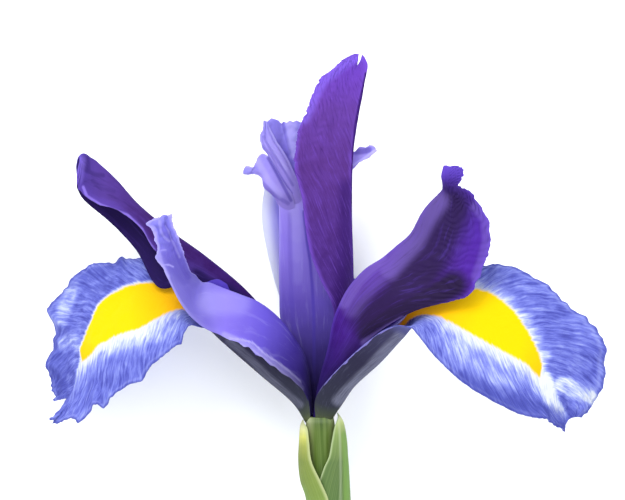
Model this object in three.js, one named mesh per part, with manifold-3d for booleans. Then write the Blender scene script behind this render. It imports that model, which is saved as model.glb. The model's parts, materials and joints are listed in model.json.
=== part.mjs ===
// A Dutch iris flower, cut with a short stem and lying on a flat surface.
//
// The flower is drawn in its own frame, in millimetres: x to the right, y up along the flower's
// axis, z towards the side that faces up once it lies down. y = 0 is the heart of the flower,
// where the petals part. At the end the flower is laid on its back, its head a little raised.
//
// Every petal is a thin sheet. It is lofted over stations, hand-set points across the petal:
// one margin, the midrib and the other margin, from its foot on the perianth tube to its tip.

import * as THREE from 'three';
import { mergeVertices } from 'three/addons/utils/BufferGeometryUtils.js';
import Module from 'manifold-3d';

const wasm = await Module();
wasm.setup();

// ---- Driving dimensions (mm, degrees) ----

const HEAD_TILT = 8;            // how far the flower's axis rises towards the head
const PETAL_THICKNESS = 0.64;
const BRACT_THICKNESS = 0.62;
const TUBE_TOP = -2.35;         // height where the perianth tube ends and the petals start
const STEM_TOP = -31.4;
const STEM_END = -79;
const STEM_RADIUS = 3;
const STEM_SIDES = 14;

// The stem's axis leans a little to the right below the flower, and its cut end sinks.
const STEM_AXIS = [
  [0.3, TUBE_TOP, 0],
  [1.3, -18, 0],
  [1.8, -31, 0],
  [2.4, -50, -0.3],
  [3, -66, -1],
  [3.2, STEM_END, -1.8],
];

// ---- Stations of the petals: [one margin, midrib, other margin] ----

const FALL_LEFT = [
  [[-2.1, -1.9, -1.7], [-2.7, -1.9, 0.2], [-1.8, -1.9, 2]],
  [[-4, 3, -3.5], [-5, 2, 0], [-2.7, 4.5, 3.2]],
  [[-10, 11.5, -5], [-11.5, 7.5, -0.5], [-9.5, 11.5, 4.7]],
  [[-16, 18.5, -6.5], [-19.5, 14.5, -1], [-16.3, 17, 5.6]],
  [[-22, 23.5, -8.5], [-24, 19, -1.5], [-22.5, 17.5, 6.5]],
  [[-30.5, 30, -11], [-30, 23, -2], [-27.5, 15, 8]],
  [[-39, 31.5, -13.5], [-38, 21.5, -1.5], [-33.5, 10, 9]],
  [[-48, 28, -16.6], [-44.5, 16.5, -2.5], [-40, 5.5, 9]],
  [[-55, 19, -17.9], [-48.5, 11, -4.5], [-46.5, 1, 7]],
  [[-56, 6, -14.6], [-50.5, 4.5, -6], [-52, -1.5, 4]],
  [[-55, 1.5, -12], [-52, 2, -6.5], [-55, -1.5, 2]],
];

const FALL_RIGHT = [
  [[2.7, -1.9, 0.2], [1.6, -1.9, 2.2], [-0.7, -1.9, 2.6]],
  [[5, 4, -1], [4.5, 2, 3], [-0.5, 3, 4.5]],
  [[7.5, 8, -0.5], [7, 5.5, 4.5], [2.5, 7.5, 7]],
  [[11.5, 14, 1], [12.5, 10.5, 6.5], [8.5, 13.5, 10]],
  [[14.5, 19.5, 2.5], [17, 15.5, 8.5], [14, 17.5, 12.5]],
  [[18.5, 24, 3], [20.5, 19.5, 11], [18.5, 17.5, 16]],
  [[26.5, 28.5, 3.5], [26.5, 20.5, 13.5], [23.5, 12, 18.5]],
  [[36.5, 30.5, 3.5], [33, 18.5, 14.5], [30, 6.5, 20]],
  [[48, 25, 4.5], [39.5, 14.5, 15], [38.5, 2, 20.5]],
  [[57, 16, 6], [44.5, 9.5, 15], [45, -0.5, 19]],
  [[57.5, 6, 8], [47.8, 4, 14.3], [47.5, -2, 16.2]],
  [[53, -0.5, 11], [50.5, -0.8, 13], [49.6, -3.2, 13.6]],
];

const FALL_BACK = [
  [[-1.2, -1.9, -2.4], [0.7, -1.9, -2.6], [2.3, -1.9, -1.4]],
  [[-3, 4, -4.5], [0.5, 4, -5.2], [4.2, 4, -4]],
  [[-5, 15, -6.5], [-0.5, 15, -8], [5, 15, -6]],
  [[-9, 27, -7], [-2, 27, -10], [4.5, 27, -8]],
  [[-11.6, 39, -8.5], [-2.5, 39, -11], [4.5, 39, -9.5]],
  [[-11, 46.5, -12], [-2.5, 45, -13.5], [4.5, 44, -12.5]],
  [[-10.5, 40, -15.5], [-2.5, 39, -16.5], [4.3, 36.5, -15.5]],
  [[-10, 31, -16.3], [-1, 31.3, -17.2], [7, 30.5, -17.2]],
  [[-8, 22.5, -16.6], [3.5, 24.5, -17.4], [13.5, 27, -18.2]],
  [[-2.5, 15, -16], [9.5, 18, -17.2], [19.5, 22, -18.4]],
  [[6, 11, -15.8], [12, 13.5, -16.4], [16.5, 16.5, -17.6]],
];

const STANDARD_FRONT = [
  [[-1.1, -1.9, 1.3], [-0.4, -1.9, 1.7], [0.3, -1.9, 1.7]],
  [[0, 5.5, 2], [0.5, 5.5, 3], [1.5, 5.5, 3.5]],
  [[2, 13, 2.5], [4, 12, 6], [6.5, 11, 7]],
  [[3.5, 19, 2], [7, 17.5, 8], [11.5, 15, 9]],
  [[7, 26, 3], [12, 23.5, 10.5], [17, 20, 13]],
  [[13.5, 32, 4], [19, 28, 12], [24.5, 22, 15.5]],
  [[19.5, 37.5, 5], [25, 33, 12.5], [31, 25, 14.5]],
  [[22.5, 43, 6], [28, 38, 12], [34, 32.5, 12.5]],
  [[25, 46, 7], [29, 42.5, 11], [33.5, 41.5, 11]],
  [[25.5, 48.5, 8], [27.5, 46.5, 10], [29.5, 46, 9.5]],
  [[25.5, 50.5, 8.5], [27.5, 50, 9.5], [29.5, 49.5, 9]],
];

const STANDARD_RIGHT = [
  [[1.2, -1.9, -1.4], [1.7, -1.9, -0.6], [1.8, -1.9, 0.2]],
  [[2, 6.5, -1.3], [2.9, 6.5, -1.1], [3.7, 6.5, -1.5]],
  [[3, 14.5, -1], [4.5, 14.5, -1], [6, 14.5, -2]],
  [[3.5, 20.5, 0], [6, 20.5, -1], [7, 20.5, -3]],
  [[0, 28, 0.5], [4.5, 28, -0.5], [7, 28, -3.5]],
  [[-2.5, 37.5, 0.5], [3, 37.5, -1], [7, 38, -4]],
  [[-4, 47.5, 0.5], [2.5, 47.5, -1], [7, 47.5, -4]],
  [[-4.5, 56, 0], [2.5, 56, -1.5], [7.5, 56, -4]],
  [[-1.5, 64, -1], [4, 64, -2], [8.5, 64, -4]],
  [[2.5, 70, -2], [6, 69.5, -2.5], [9.5, 69.5, -3.5]],
  [[6, 72.5, -2.5], [7, 71.5, -2.5], [9.5, 73, -3]],
];

const STANDARD_LEFT = [
  [[-1.6, -1.9, -0.8], [-1.3, -1.9, -1.2], [-0.8, -1.9, -1.6]],
  [[-4.6, 7, -2.4], [-4.4, 8.5, -3.2], [-4.2, 7.8, -4.2]],
  [[-10.5, 15, -4], [-9.5, 18, -5.5], [-10.5, 16.5, -7]],
  [[-17, 22.5, -4], [-15, 25, -6.5], [-17.5, 22, -8]],
  [[-25.5, 27.5, -2.5], [-23.5, 31.5, -6.5], [-26.5, 26, -4]],
  [[-32.5, 32, -1.5], [-30.5, 36.5, -6.5], [-33, 26.2, -2.5]],
  [[-37, 37.5, -3], [-37.2, 41.5, -7], [-37.5, 33, -8]],
  [[-42.5, 41, -4], [-42.5, 47.2, -8], [-43.5, 39.5, -10]],
  [[-47, 44, -5], [-46, 51.5, -8.5], [-49, 43.5, -11]],
  [[-49.5, 47.5, -6], [-49, 52.5, -8.5], [-50.5, 48, -11]],
];

const STYLE_LEFT = [
  [[-0.7, -1.9, 0.6], [-0.9, -1.9, 0.1], [-0.8, -1.9, -0.5]],
  [[-2.4, 4.5, 1.4], [-1.5, 5, 0.5], [-2.2, 4.8, -0.6]],
  [[-7, 9.5, 2.6], [-5, 13.5, 0.8], [-7, 10.5, -1.6]],
  [[-11.5, 13, 3.2], [-9, 19.5, 0.8], [-11.5, 15.5, -2]],
  [[-15.7, 15.9, 3.6], [-14.5, 23, 1.2], [-15.5, 19.5, -2]],
  [[-20, 18.6, 6.3], [-19.5, 24.5, 2], [-19, 22.5, -1]],
  [[-24.5, 18, 8.3], [-23.5, 25, 3.5], [-22, 26, 0.5]],
  [[-28, 22.5, 8], [-26, 26.5, 5.5], [-25.5, 28.5, 4.5]],
  [[-31, 29, 7.5], [-28.5, 31, 7], [-27, 33, 6]],
  [[-33, 33, 7], [-30.5, 34, 8], [-28.5, 36, 6.5]],
  [[-33.5, 36.5, 6.5], [-31.5, 37.5, 8], [-29.5, 38.5, 6.5]],
  [[-34.5, 39, 6], [-32.5, 40, 7.5], [-30, 40.5, 6]],
];

const STYLE_LEFT_FAR_CREST = [
  [[-14.5, 23, 1], [-15.5, 23.2, 0.2], [-16, 22.5, -0.8]],
  [[-17.5, 24, 1.5], [-18, 25.8, 0.2], [-18.5, 24, -1.2]],
  [[-20.5, 25, 2], [-20.5, 26.8, 0.4], [-21.5, 26, -1]],
  [[-23, 26, 2.5], [-23, 26.8, 1], [-24, 26, 0]],
];

const STYLE_RIGHT = [
  [[0.1, -1.9, 0.9], [0.6, -1.9, 0.7], [0.9, -1.9, 0.3]],
  [[1.4, 4.5, 1.5], [2.2, 5.5, 1.1], [3, 5, 0.3]],
  [[4.9, 9, 3.8], [5.5, 11, 3], [7, 9.8, 0.9]],
  [[10.3, 14.3, 7.3], [10.5, 17, 5.5], [12, 16, 3.2]],
  [[15.5, 17.8, 10.9], [15.5, 21.5, 8], [16.5, 21.3, 5]],
  [[18.5, 21, 12], [18.5, 24.5, 9], [17.8, 24.5, 6]],
  [[19.5, 24, 11], [19, 28, 8], [17.5, 27.5, 6.5]],
];

const STYLE_BACK = [
  [[-0.3, -1.9, -0.9], [0.25, -1.9, -0.9], [0.7, -1.9, -0.6]],
  [[-1.6, 4, -3], [-0.1, 4, -2.8], [1.2, 4, -3]],
  [[-5.8, 16.5, -4.2], [-1, 16.5, -4.5], [3.5, 16.5, -4]],
  [[-8, 25, -5], [-1, 25, -6], [4, 25, -5]],
  [[-8, 35.5, -6], [-2, 35.5, -6.5], [5, 35.5, -6]],
  [[-8, 42.5, -6.5], [-2.5, 42.5, -6.5], [5.5, 42.5, -6.5]],
  [[-11, 46, -6], [-4.5, 47.5, -6], [3.5, 48, -6.5]],
  [[-12.2, 50.5, -5.5], [-6.5, 53.5, -5.5], [1.5, 53.5, -6]],
  [[-12, 55, -5], [-8, 57.5, -5], [-1, 57.5, -5.5]],
  [[-11.4, 58.2, -4.5], [-8.5, 60.3, -4.5], [-3, 60, -5.5]],
];

const STYLE_BACK_RIGHT_CREST = [
  [[3.5, 40.5, -6.2], [5, 41, -6.6], [6, 40.5, -7.2]],
  [[4.5, 45.5, -6.5], [6, 46.5, -7.5], [6.5, 47, -8]],
  [[6.5, 49.5, -6.5], [8, 51.5, -7.5], [7.5, 53.5, -8]],
  [[10, 51.5, -6], [11.5, 53.5, -7], [11, 55, -8]],
];

const STYLE_BACK_LEFT_CREST = [
  [[-10, 46.5, -6.5], [-8.5, 48, -6], [-7, 48.5, -5.5]],
  [[-11.5, 48, -5], [-10.5, 50, -4], [-9.5, 51.5, -4]],
  [[-13, 49, -4], [-12.5, 50, -3.2], [-11.5, 51, -3.5]],
  [[-15.5, 49.5, -3.5], [-15.2, 50.3, -3], [-14.5, 50.8, -3]],
];

// ---- Sheets ----

function splineAt(points, s) {
  // A smooth curve through evenly numbered points, s from 0 at the first to 1 at the last.
  const last = points.length - 1;
  const at = Math.min(Math.max(s, 0), 1) * last;
  const i = Math.min(Math.floor(at), last - 1);
  const f = at - i;
  const p1 = points[i];
  const p2 = points[i + 1];
  const p0 = i > 0 ? points[i - 1] : p1.map((c, k) => 2 * c - p2[k]);
  const p3 = i < last - 1 ? points[i + 2] : p2.map((c, k) => 2 * c - p1[k]);
  return p1.map((c, k) => {
    const slope = (p2[k] - p0[k]) / 2;
    const nextSlope = (p3[k] - c) / 2;
    const rise = p2[k] - c;
    return c + f * (slope + f * (3 * rise - 2 * slope - nextSlope + f * (slope + nextSlope - 2 * rise)));
  });
}

function acrossStations(stations) {
  // The lofted sheet: t is -1 on the first margin, 0 on the midrib and 1 on the other margin.
  const columns = [0, 1, 2].map((k) => stations.map((row) => row[k]));
  return (s, t) => {
    const [left, middle, right] = columns.map((column) => splineAt(column, s));
    const point = middle.map((c, k) => c + (t * (right[k] - left[k])) / 2
      + (t * t * (left[k] + right[k] - 2 * c)) / 2);
    return new THREE.Vector3(...point);
  };
}

function normalAt(surface, s, t) {
  const step = 0.002;
  const along = surface(Math.min(s + step, 1), t).sub(surface(Math.max(s - step, 0), t));
  const across = surface(s, Math.min(t + step, 1)).sub(surface(s, Math.max(t - step, -1)));
  return along.cross(across).normalize();
}

function frilled(surface, { depth, waves, from = 0.5, turn = 0 }) {
  // Waves the margins up and down, deepest at the edge and growing from station share `from`.
  return (s, t) => {
    const grown = THREE.MathUtils.smoothstep(s, from, Math.min(from + 0.35, 1));
    const phase = 2 * Math.PI * waves * s + (t > 0 ? turn : 0);
    const lift = depth * grown * Math.abs(t) ** 3 * (Math.sin(phase) + 0.45 * Math.sin(2.3 * phase + 1));
    return surface(s, t).addScaledVector(normalAt(surface, s, t), lift);
  };
}

function pleated(surface, { depth, folds, from }) {
  // Folds the sheet lengthwise like a fan, deepest at the tip.
  return (s, t) => {
    const grown = THREE.MathUtils.smoothstep(s, from, 1);
    const lift = depth * grown * Math.sin(Math.PI * folds * (t + 1));
    return surface(s, t).addScaledVector(normalAt(surface, s, t), lift);
  };
}

function thickened(surface, thickness, steps, across) {
  // A closed body of even thickness round the sheet, split alike on both faces.
  const positions = [];
  const indices = [];
  const row = across + 1;
  const face = (steps + 1) * row;
  for (const side of [0.5, -0.5]) {
    for (let i = 0; i <= steps; i += 1) {
      for (let j = 0; j <= across; j += 1) {
        const s = i / steps;
        const t = (2 * j) / across - 1;
        const point = surface(s, t).addScaledVector(normalAt(surface, s, t), side * thickness);
        positions.push(point.x, point.y, point.z);
      }
    }
  }
  const quad = (a, b, c, d) => indices.push(a, b, c, a, c, d);
  for (let i = 0; i < steps; i += 1) {
    for (let j = 0; j < across; j += 1) {
      const a = i * row + j;
      quad(a, a + row, a + row + 1, a + 1);
      indices.push(face + a, face + a + row + 1, face + a + row);
      indices.push(face + a, face + a + 1, face + a + row + 1);
    }
  }
  for (let i = 0; i < steps; i += 1) {
    const a = i * row;
    const b = a + across;
    quad(a, face + a, face + a + row, a + row);
    quad(b, b + row, face + b + row, face + b);
  }
  for (let j = 0; j < across; j += 1) {
    const a = j;
    const b = steps * row + j;
    quad(a, a + 1, face + a + 1, face + a);
    quad(b, face + b, face + b + 1, b + 1);
  }
  const geometry = new THREE.BufferGeometry();
  geometry.setAttribute('position', new THREE.Float32BufferAttribute(positions, 3));
  geometry.setIndex(indices);
  return geometry;
}

// ---- Joining ----

function solidOf(geometry) {
  const bare = geometry.clone();
  bare.deleteAttribute('normal');
  bare.deleteAttribute('uv');
  const merged = mergeVertices(bare, 1e-5);
  const vertProperties = new Float32Array(merged.attributes.position.array);
  const triVerts = new Uint32Array(merged.index.array);
  return new wasm.Manifold(new wasm.Mesh({ numProp: 3, vertProperties, triVerts }));
}

function joined(...geometries) {
  const solid = geometries.map(solidOf).reduce((a, b) => a.add(b));
  const mesh = solid.getMesh();
  const geometry = new THREE.BufferGeometry();
  geometry.setAttribute('position', new THREE.Float32BufferAttribute(mesh.vertProperties, 3));
  geometry.setIndex(Array.from(mesh.triVerts));
  return geometry;
}

// ---- Materials ----

const leafy = (color, roughness) => new THREE.MeshStandardMaterial({
  color, roughness, metalness: 0, flatShading: true,
});
const BLUE = 0x7e84d8;
const VIOLET = 0x4c1f8c;
const LAVENDER = 0x8d78dc;
const GREEN = 0x7f9f45;
const PALE_GREEN = 0xb9cc7c;
const CREAM = 0xe6dcc0;

const iris = new THREE.Group();

function add(name, geometry, color, roughness = 0.6) {
  const mesh = new THREE.Mesh(geometry, leafy(color, roughness));
  mesh.name = name;
  iris.add(mesh);
}

// ---- Petals ----

const FALL_GRID = [28, 8];
const STANDARD_GRID = [24, 6];
const STYLE_GRID = [22, 6];
const FAN_GRID = [22, 14];
const CREST_GRID = [6, 4];

function petal(stations, [steps, across], frill, pleats) {
  let sheet = acrossStations(stations);
  if (frill) sheet = frilled(sheet, frill);
  if (pleats) sheet = pleated(sheet, pleats);
  return thickened(sheet, PETAL_THICKNESS, steps, across);
}

add('fall_left', petal(FALL_LEFT, FALL_GRID, { depth: 0.9, waves: 7, from: 0.45, turn: 1.7 }), BLUE);
add('fall_right', petal(FALL_RIGHT, FALL_GRID, { depth: 0.7, waves: 7, from: 0.5, turn: 0.6 }), BLUE);
add('fall_back', petal(FALL_BACK, FALL_GRID, { depth: 0.5, waves: 6, from: 0.55 }), BLUE);

add('standard_front', petal(STANDARD_FRONT, STANDARD_GRID, { depth: 0.5, waves: 6, from: 0.4 }), VIOLET);
add('standard_right', petal(STANDARD_RIGHT, STANDARD_GRID, { depth: 0.4, waves: 7, from: 0.4 }), VIOLET);
add('standard_left', petal(STANDARD_LEFT, STANDARD_GRID, { depth: 0.3, waves: 6, from: 0.5 }), VIOLET);

add('style_left', joined(
  petal(STYLE_LEFT, STYLE_GRID),
  petal(STYLE_LEFT_FAR_CREST, CREST_GRID),
), LAVENDER);
add('style_right', petal(STYLE_RIGHT, STYLE_GRID), LAVENDER);
add('style_back', joined(
  petal(STYLE_BACK, FAN_GRID, null, { depth: 0.5, folds: 2.5, from: 0.55 }),
  petal(STYLE_BACK_RIGHT_CREST, CREST_GRID),
  petal(STYLE_BACK_LEFT_CREST, CREST_GRID),
), LAVENDER);

// ---- Stamens: a thin filament and a long anther under each style arm ----

const FILAMENT_RADIUS = 0.34;
const ANTHER_RADIUS = 0.8;
const ANTHER_LENGTH = 10;

function stamen(path) {
  const filament = new THREE.CatmullRomCurve3(path.map((point) => new THREE.Vector3(...point)));
  const section = new THREE.Shape().absarc(0, 0, FILAMENT_RADIUS, 0, 2 * Math.PI, false);
  const rod = new THREE.ExtrudeGeometry(section, {
    extrudePath: filament, steps: 14, curveSegments: 4,
  });
  const tip = filament.getPoint(1);
  const direction = filament.getTangent(1);
  const anther = new THREE.SphereGeometry(1, 10, 8);
  anther.scale(ANTHER_RADIUS, ANTHER_LENGTH / 2, ANTHER_RADIUS * 0.8);
  anther.applyQuaternion(new THREE.Quaternion().setFromUnitVectors(
    new THREE.Vector3(0, 1, 0),
    direction,
  ));
  anther.translate(
    tip.x + direction.x * ANTHER_LENGTH * 0.35,
    tip.y + direction.y * ANTHER_LENGTH * 0.35,
    tip.z + direction.z * ANTHER_LENGTH * 0.35,
  );
  return joined(rod, anther);
}

add('stamen_left', stamen([[-1.8, -1.9, 0.1], [-3.8, 3.6, 0.3], [-9, 11, 0], [-13, 14.5, 0]]), CREAM);
add('stamen_right', stamen([[1.15, -1.9, 1.4], [3.1, 3.5, 2.1], [6.5, 8.2, 3], [10, 13, 4.6]]), CREAM);
add('stamen_back', stamen([[0.5, -1.9, -1.75], [0.2, 4, -3.9], [-0.6, 15, -6.2], [-1.4, 23, -7.8]]), CREAM);

// ---- Ovary with the perianth tube, and the stem ----

function stemPointAt(height) {
  // The stem's axis at a height on the flower's own axis, read off the spline.
  let low = 0;
  let high = 1;
  for (let k = 0; k < 30; k += 1) {
    const middle = (low + high) / 2;
    if (splineAt(STEM_AXIS, middle)[1] > height) low = middle;
    else high = middle;
  }
  return splineAt(STEM_AXIS, low);
}

function roundAxis(profile, sides) {
  // A closed body round the stem's axis. profile lists [height, radius] from the top down.
  const points = [
    new THREE.Vector2(0, profile[profile.length - 1][0]),
    ...profile.map(([height, radius]) => new THREE.Vector2(radius, height)).reverse(),
    new THREE.Vector2(0, profile[0][0]),
  ];
  const geometry = new THREE.LatheGeometry(points, sides);
  const position = geometry.attributes.position;
  for (let k = 0; k < position.count; k += 1) {
    const [x, , z] = stemPointAt(position.getY(k));
    position.setX(k, position.getX(k) + x);
    position.setZ(k, position.getZ(k) + z);
  }
  geometry.deleteAttribute('normal');
  geometry.deleteAttribute('uv');
  return mergeVertices(geometry, 1e-4);
}

add('ovary', roundAxis([
  [TUBE_TOP, 2.8],
  [-4, 2.6],
  [-8, 2.5],
  [-14, 2.7],
  [-20, 3],
  [-26, 3],
  [-31, 2.7],
], STEM_SIDES), GREEN, 0.5);

const stemRings = 12;
add('stem', roundAxis(
  Array.from({ length: stemRings + 1 }, (_, k) => [
    STEM_TOP + ((STEM_END - STEM_TOP) * k) / stemRings,
    STEM_RADIUS,
  ]),
  STEM_SIDES,
), GREEN, 0.5);

// ---- Bracts: two leafy sheaths that clasp the ovary ----

// Each station is [height, distance from the stem's axis, half the angle it wraps (degrees)].
const BRACT_OUTER = { facing: -75, stations: [
  [-47, 4.6, 160],
  [-38, 4.6, 152],
  [-30, 4.6, 132],
  [-18, 4.5, 93],
  [-10, 4.4, 58],
  [-5, 4.3, 36],
  [-1.6, 4.2, 8],
] };
const BRACT_INNER = { facing: 90, stations: [
  [-45, 3.65, 150],
  [-36, 3.62, 135],
  [-28, 3.55, 100],
  [-21, 3.7, 56],
  [-14, 4.4, 50],
  [-6, 4.6, 38],
  [-1, 4.4, 8],
] };
const BRACT_GRID = [14, 12];

function bract({ facing, stations }) {
  const surface = (s, t) => {
    const [height, radius, spread] = splineAt(stations, s);
    const angle = THREE.MathUtils.degToRad(facing + t * spread);
    const [x, , z] = stemPointAt(height);
    return new THREE.Vector3(x + radius * Math.sin(angle), height, z + radius * Math.cos(angle));
  };
  return thickened(surface, BRACT_THICKNESS, ...BRACT_GRID);
}

add('bract_outer', bract(BRACT_OUTER), PALE_GREEN);
add('bract_inner', bract(BRACT_INNER), PALE_GREEN);

// ---- Laid down: the axis along +Y, the lowest points on z = 0 ----

iris.rotation.x = THREE.MathUtils.degToRad(HEAD_TILT);
iris.updateMatrixWorld(true);
const extent = new THREE.Box3().setFromObject(iris, true);
const centre = extent.getCenter(new THREE.Vector3());
iris.position.set(-centre.x, -centre.y, -extent.min.z);

export default iris;
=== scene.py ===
# %% [markdown]
# A Dutch iris, cut with a short stem and laid on a pale table.
#
# Three broad falls hang outwards with a yellow signal each, three dark violet standards stand
# or lean between them, and three lavender style arms cover the stamens. Every one of them is a
# thin sheet that starts at the heart of the flower. So the lesson builds one good tool for
# growing a sheet from a few given points, and then spends its time on margins, folds and
# colour. Before that, the imported model is loaded: it fixes the size and the place of each part.

import functools
import json
import math

import bmesh
import bpy
from mathutils import Matrix, Vector, noise

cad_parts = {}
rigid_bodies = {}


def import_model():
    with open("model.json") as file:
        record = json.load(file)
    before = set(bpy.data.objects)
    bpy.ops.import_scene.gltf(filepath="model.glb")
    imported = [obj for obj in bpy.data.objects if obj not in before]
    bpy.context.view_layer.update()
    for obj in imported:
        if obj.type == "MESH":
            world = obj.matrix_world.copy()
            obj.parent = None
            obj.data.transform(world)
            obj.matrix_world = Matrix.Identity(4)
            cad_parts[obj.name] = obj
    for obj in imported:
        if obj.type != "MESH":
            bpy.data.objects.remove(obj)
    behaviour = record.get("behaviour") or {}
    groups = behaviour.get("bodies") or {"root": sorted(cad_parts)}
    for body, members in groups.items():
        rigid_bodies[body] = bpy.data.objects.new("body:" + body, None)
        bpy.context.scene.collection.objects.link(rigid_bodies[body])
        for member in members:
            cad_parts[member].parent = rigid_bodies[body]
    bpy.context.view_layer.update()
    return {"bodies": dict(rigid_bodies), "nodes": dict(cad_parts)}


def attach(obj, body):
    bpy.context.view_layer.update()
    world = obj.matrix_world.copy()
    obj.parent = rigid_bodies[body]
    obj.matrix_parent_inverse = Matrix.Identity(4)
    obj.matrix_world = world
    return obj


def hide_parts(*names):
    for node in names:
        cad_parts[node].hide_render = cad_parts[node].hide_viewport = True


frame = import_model()
print("parts in the frame:", len(frame["nodes"]))

# %% [markdown]
# Everything is drawn in the flower's own frame, in millimetres: x to the right, y up along the
# flower, z towards the side that faces up. y = 0 is the heart, where the petals part. One
# matrix lays that frame down: the head is raised by a few degrees, because the petals at the
# back hold it up. Working in such a local frame keeps the numbers readable.

# %% From the flower's frame to the table
HEAD_TILT = math.radians(8)
HEART_ON_TABLE = Vector((-0.7793, 2.7919, 15.7823))
MM = 0.001
LAID = (
    Matrix.Scale(MM, 4)
    @ Matrix.Translation(HEART_ON_TABLE)
    @ Matrix.Rotation(HEAD_TILT, 4, "X")
)
print("heart of the flower at", [round(c, 4) for c in LAID.translation])

# %% [markdown]
# The camera looks straight down on the flower's axis from 60 cm away, as one looks at a
# flower on a table. A long lens keeps the petals' proportions true. The camera takes the same
# tilt as the flower, so it is simply placed in the flower's frame too.

# %% Camera
VIEW_CENTRE = Vector((-1.1275, 33.21, 600))
VIEW_WIDTH = 128.125
SENSOR = 36

lens = bpy.data.cameras.new("flower_camera")
lens.sensor_width = SENSOR
lens.lens = SENSOR * VIEW_CENTRE.z / VIEW_WIDTH
lens.clip_start = 0.01
lens.clip_end = 20
camera = bpy.data.objects.new("flower_camera", lens)
camera.location = LAID @ VIEW_CENTRE
camera.rotation_euler = (HEAD_TILT, 0, 0)
bpy.context.scene.collection.objects.link(camera)
bpy.context.scene.camera = camera
print("lens of", round(lens.lens), "mm")

# %% [markdown]
# A petal is described by stations. Each station lies across the petal and holds three points:
# one margin, the midrib and the other margin. A smooth curve runs along each of the three
# rows, and a parabola joins the three points across. That is a loft, and it gives a curved,
# twisted sheet from about thirty points that a person can still read and move.

# %% Curves and lofted sheets
def spline_at(points, s):
    """A smooth curve through evenly numbered points, s from 0 at the first to 1 at the last."""
    last = len(points) - 1
    at = min(max(s, 0), 1) * last
    i = min(int(at), last - 1)
    f = at - i
    p1, p2 = points[i], points[i + 1]
    p0 = points[i - 1] if i > 0 else 2 * p1 - p2
    p3 = points[i + 2] if i < last - 1 else 2 * p2 - p1
    slope, next_slope, rise = (p2 - p0) / 2, (p3 - p1) / 2, p2 - p1
    return p1 + f * (
        slope + f * (3 * rise - 2 * slope - next_slope + f * (slope + next_slope - 2 * rise))
    )


def loft(stations):
    """The sheet over these stations: t is -1 on the first margin and 1 on the other."""
    rows = [[Vector(row[k]) for row in stations] for k in range(3)]

    @functools.lru_cache(maxsize=4096)
    def station(s):
        left, middle, right = (spline_at(row, s) for row in rows)
        return middle, (right - left) / 2, (left + right - 2 * middle) / 2

    def at(s, t):
        middle, half, crown = station(s)
        return middle + t * half + t * t * crown

    at.half_width = lambda s: station(s)[1].length
    return at


STEP = 0.002


def normal_at(sheet, s, t):
    along = sheet(min(s + STEP, 1), t) - sheet(max(s - STEP, 0), t)
    across = sheet(s, min(t + STEP, 1)) - sheet(s, max(t - STEP, -1))
    return along.cross(across).normalized()


def smooth(low, high, x):
    """0 below low, 1 above high, and a soft step between them."""
    f = min(max((x - low) / (high - low), 0), 1)
    return f * f * (3 - 2 * f)


def bump(middle, width, x):
    """A soft hump: 1 at middle, 0 further than width from it."""
    return smooth(0, 1, 1 - abs(x - middle) / width)


# %% [markdown]
# Real petals aren't smooth. Their margins are frilled, fine ridges follow the veins, and the
# whole sheet is a little crumpled from having been rolled up in the bud. Each of these is a
# height above the lofted sheet, so they can be written as small functions and added up. The
# frill keeps to the margin because it grows with the cube of the distance from the midrib.
# Noise is seeded by position, so the flower is the same each time.

# %% Frills, ridges and crumples
GROWTH = 0.35
SECOND_WAVE, ITS_DEPTH = 2.3, 0.45
SEED_STEPS = (7.3, 3.1, 5.7)
RIDGE_WANDER = 1.5


def frill(depth, waves, start=0.5, turn=0):
    """Waves along both margins, growing from station share start towards the tip."""

    def height(s, t, _point):
        grown = smooth(start, min(start + GROWTH, 1), s)
        phase = 2 * math.pi * waves * s + (turn if t > 0 else 0)
        wave = math.sin(phase) + ITS_DEPTH * math.sin(SECOND_WAVE * phase + 1)
        return depth * grown * abs(t) ** 3 * wave

    return height


def pleats(depth, folds, start, turn=0.0):
    """Folds lengthwise like a fan's, deepest at the tip."""

    def height(s, t, _point):
        grown = smooth(start, min(start + 0.3, 1), s)
        return depth * grown * math.sin(math.pi * (folds * (t + 1) + turn))

    return height


def crumple(depth, size, start=0.3, full=0.6, seed=0):
    """Soft irregular dents of about this size in mm."""

    def height(s, _t, point):
        place = point / size + Vector([seed * step for step in SEED_STEPS])
        return depth * smooth(start, full, s) * noise.fractal(place, 1.0, 2.0, 3)

    return height


def ridges(depth, count, slant, start=0.45, middle=0.0, seed=0):
    """Fine ridges that leave the midrib at a slant and run out to the margins, as the veins do."""

    def height(s, t, _point):
        away = abs(t - middle)
        grown = smooth(start, start + 0.15, s) * smooth(0.25, 0.8, away)
        wander = RIDGE_WANDER * noise.noise(Vector((s * 9, t * 3, seed)))
        return depth * grown * math.sin(2 * math.pi * (count * (s - slant * away) + wander))

    return height


# %% [markdown]
# A petal's shades don't follow its edges only, and most of them are painted light and shade,
# laid on like a painter's strokes: dark strokes paint the shade in hollows, in folds and on
# layers that lie under others, and pale strokes paint the sheen on ridges, creases and rolled
# edges. A few stand for paler and darker patches of the petal's own colour. A stroke is a few
# points on the flower's own frame, a width in millimetres and a strength, and each vertex
# stores the strongest stroke over it. A stroke can keep to one half of the petal, where two
# layers lie over each other.

# %% Strokes of painted shade and sheen
FIRST_HALF, SECOND_HALF = -1, 1
STROKE_CORE = 0.3


def distance_to(points, x, y):
    """The distance in the flower's plane from (x, y) to a line through these points."""
    best = 1e9
    for (x0, y0), (x1, y1) in zip(points, points[1:]):
        run, rise = x1 - x0, y1 - y0
        f = min(max(((x - x0) * run + (y - y0) * rise) / (run * run + rise * rise), 0), 1)
        best = min(best, math.hypot(x - x0 - f * run, y - y0 - f * rise))
    return best


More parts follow.
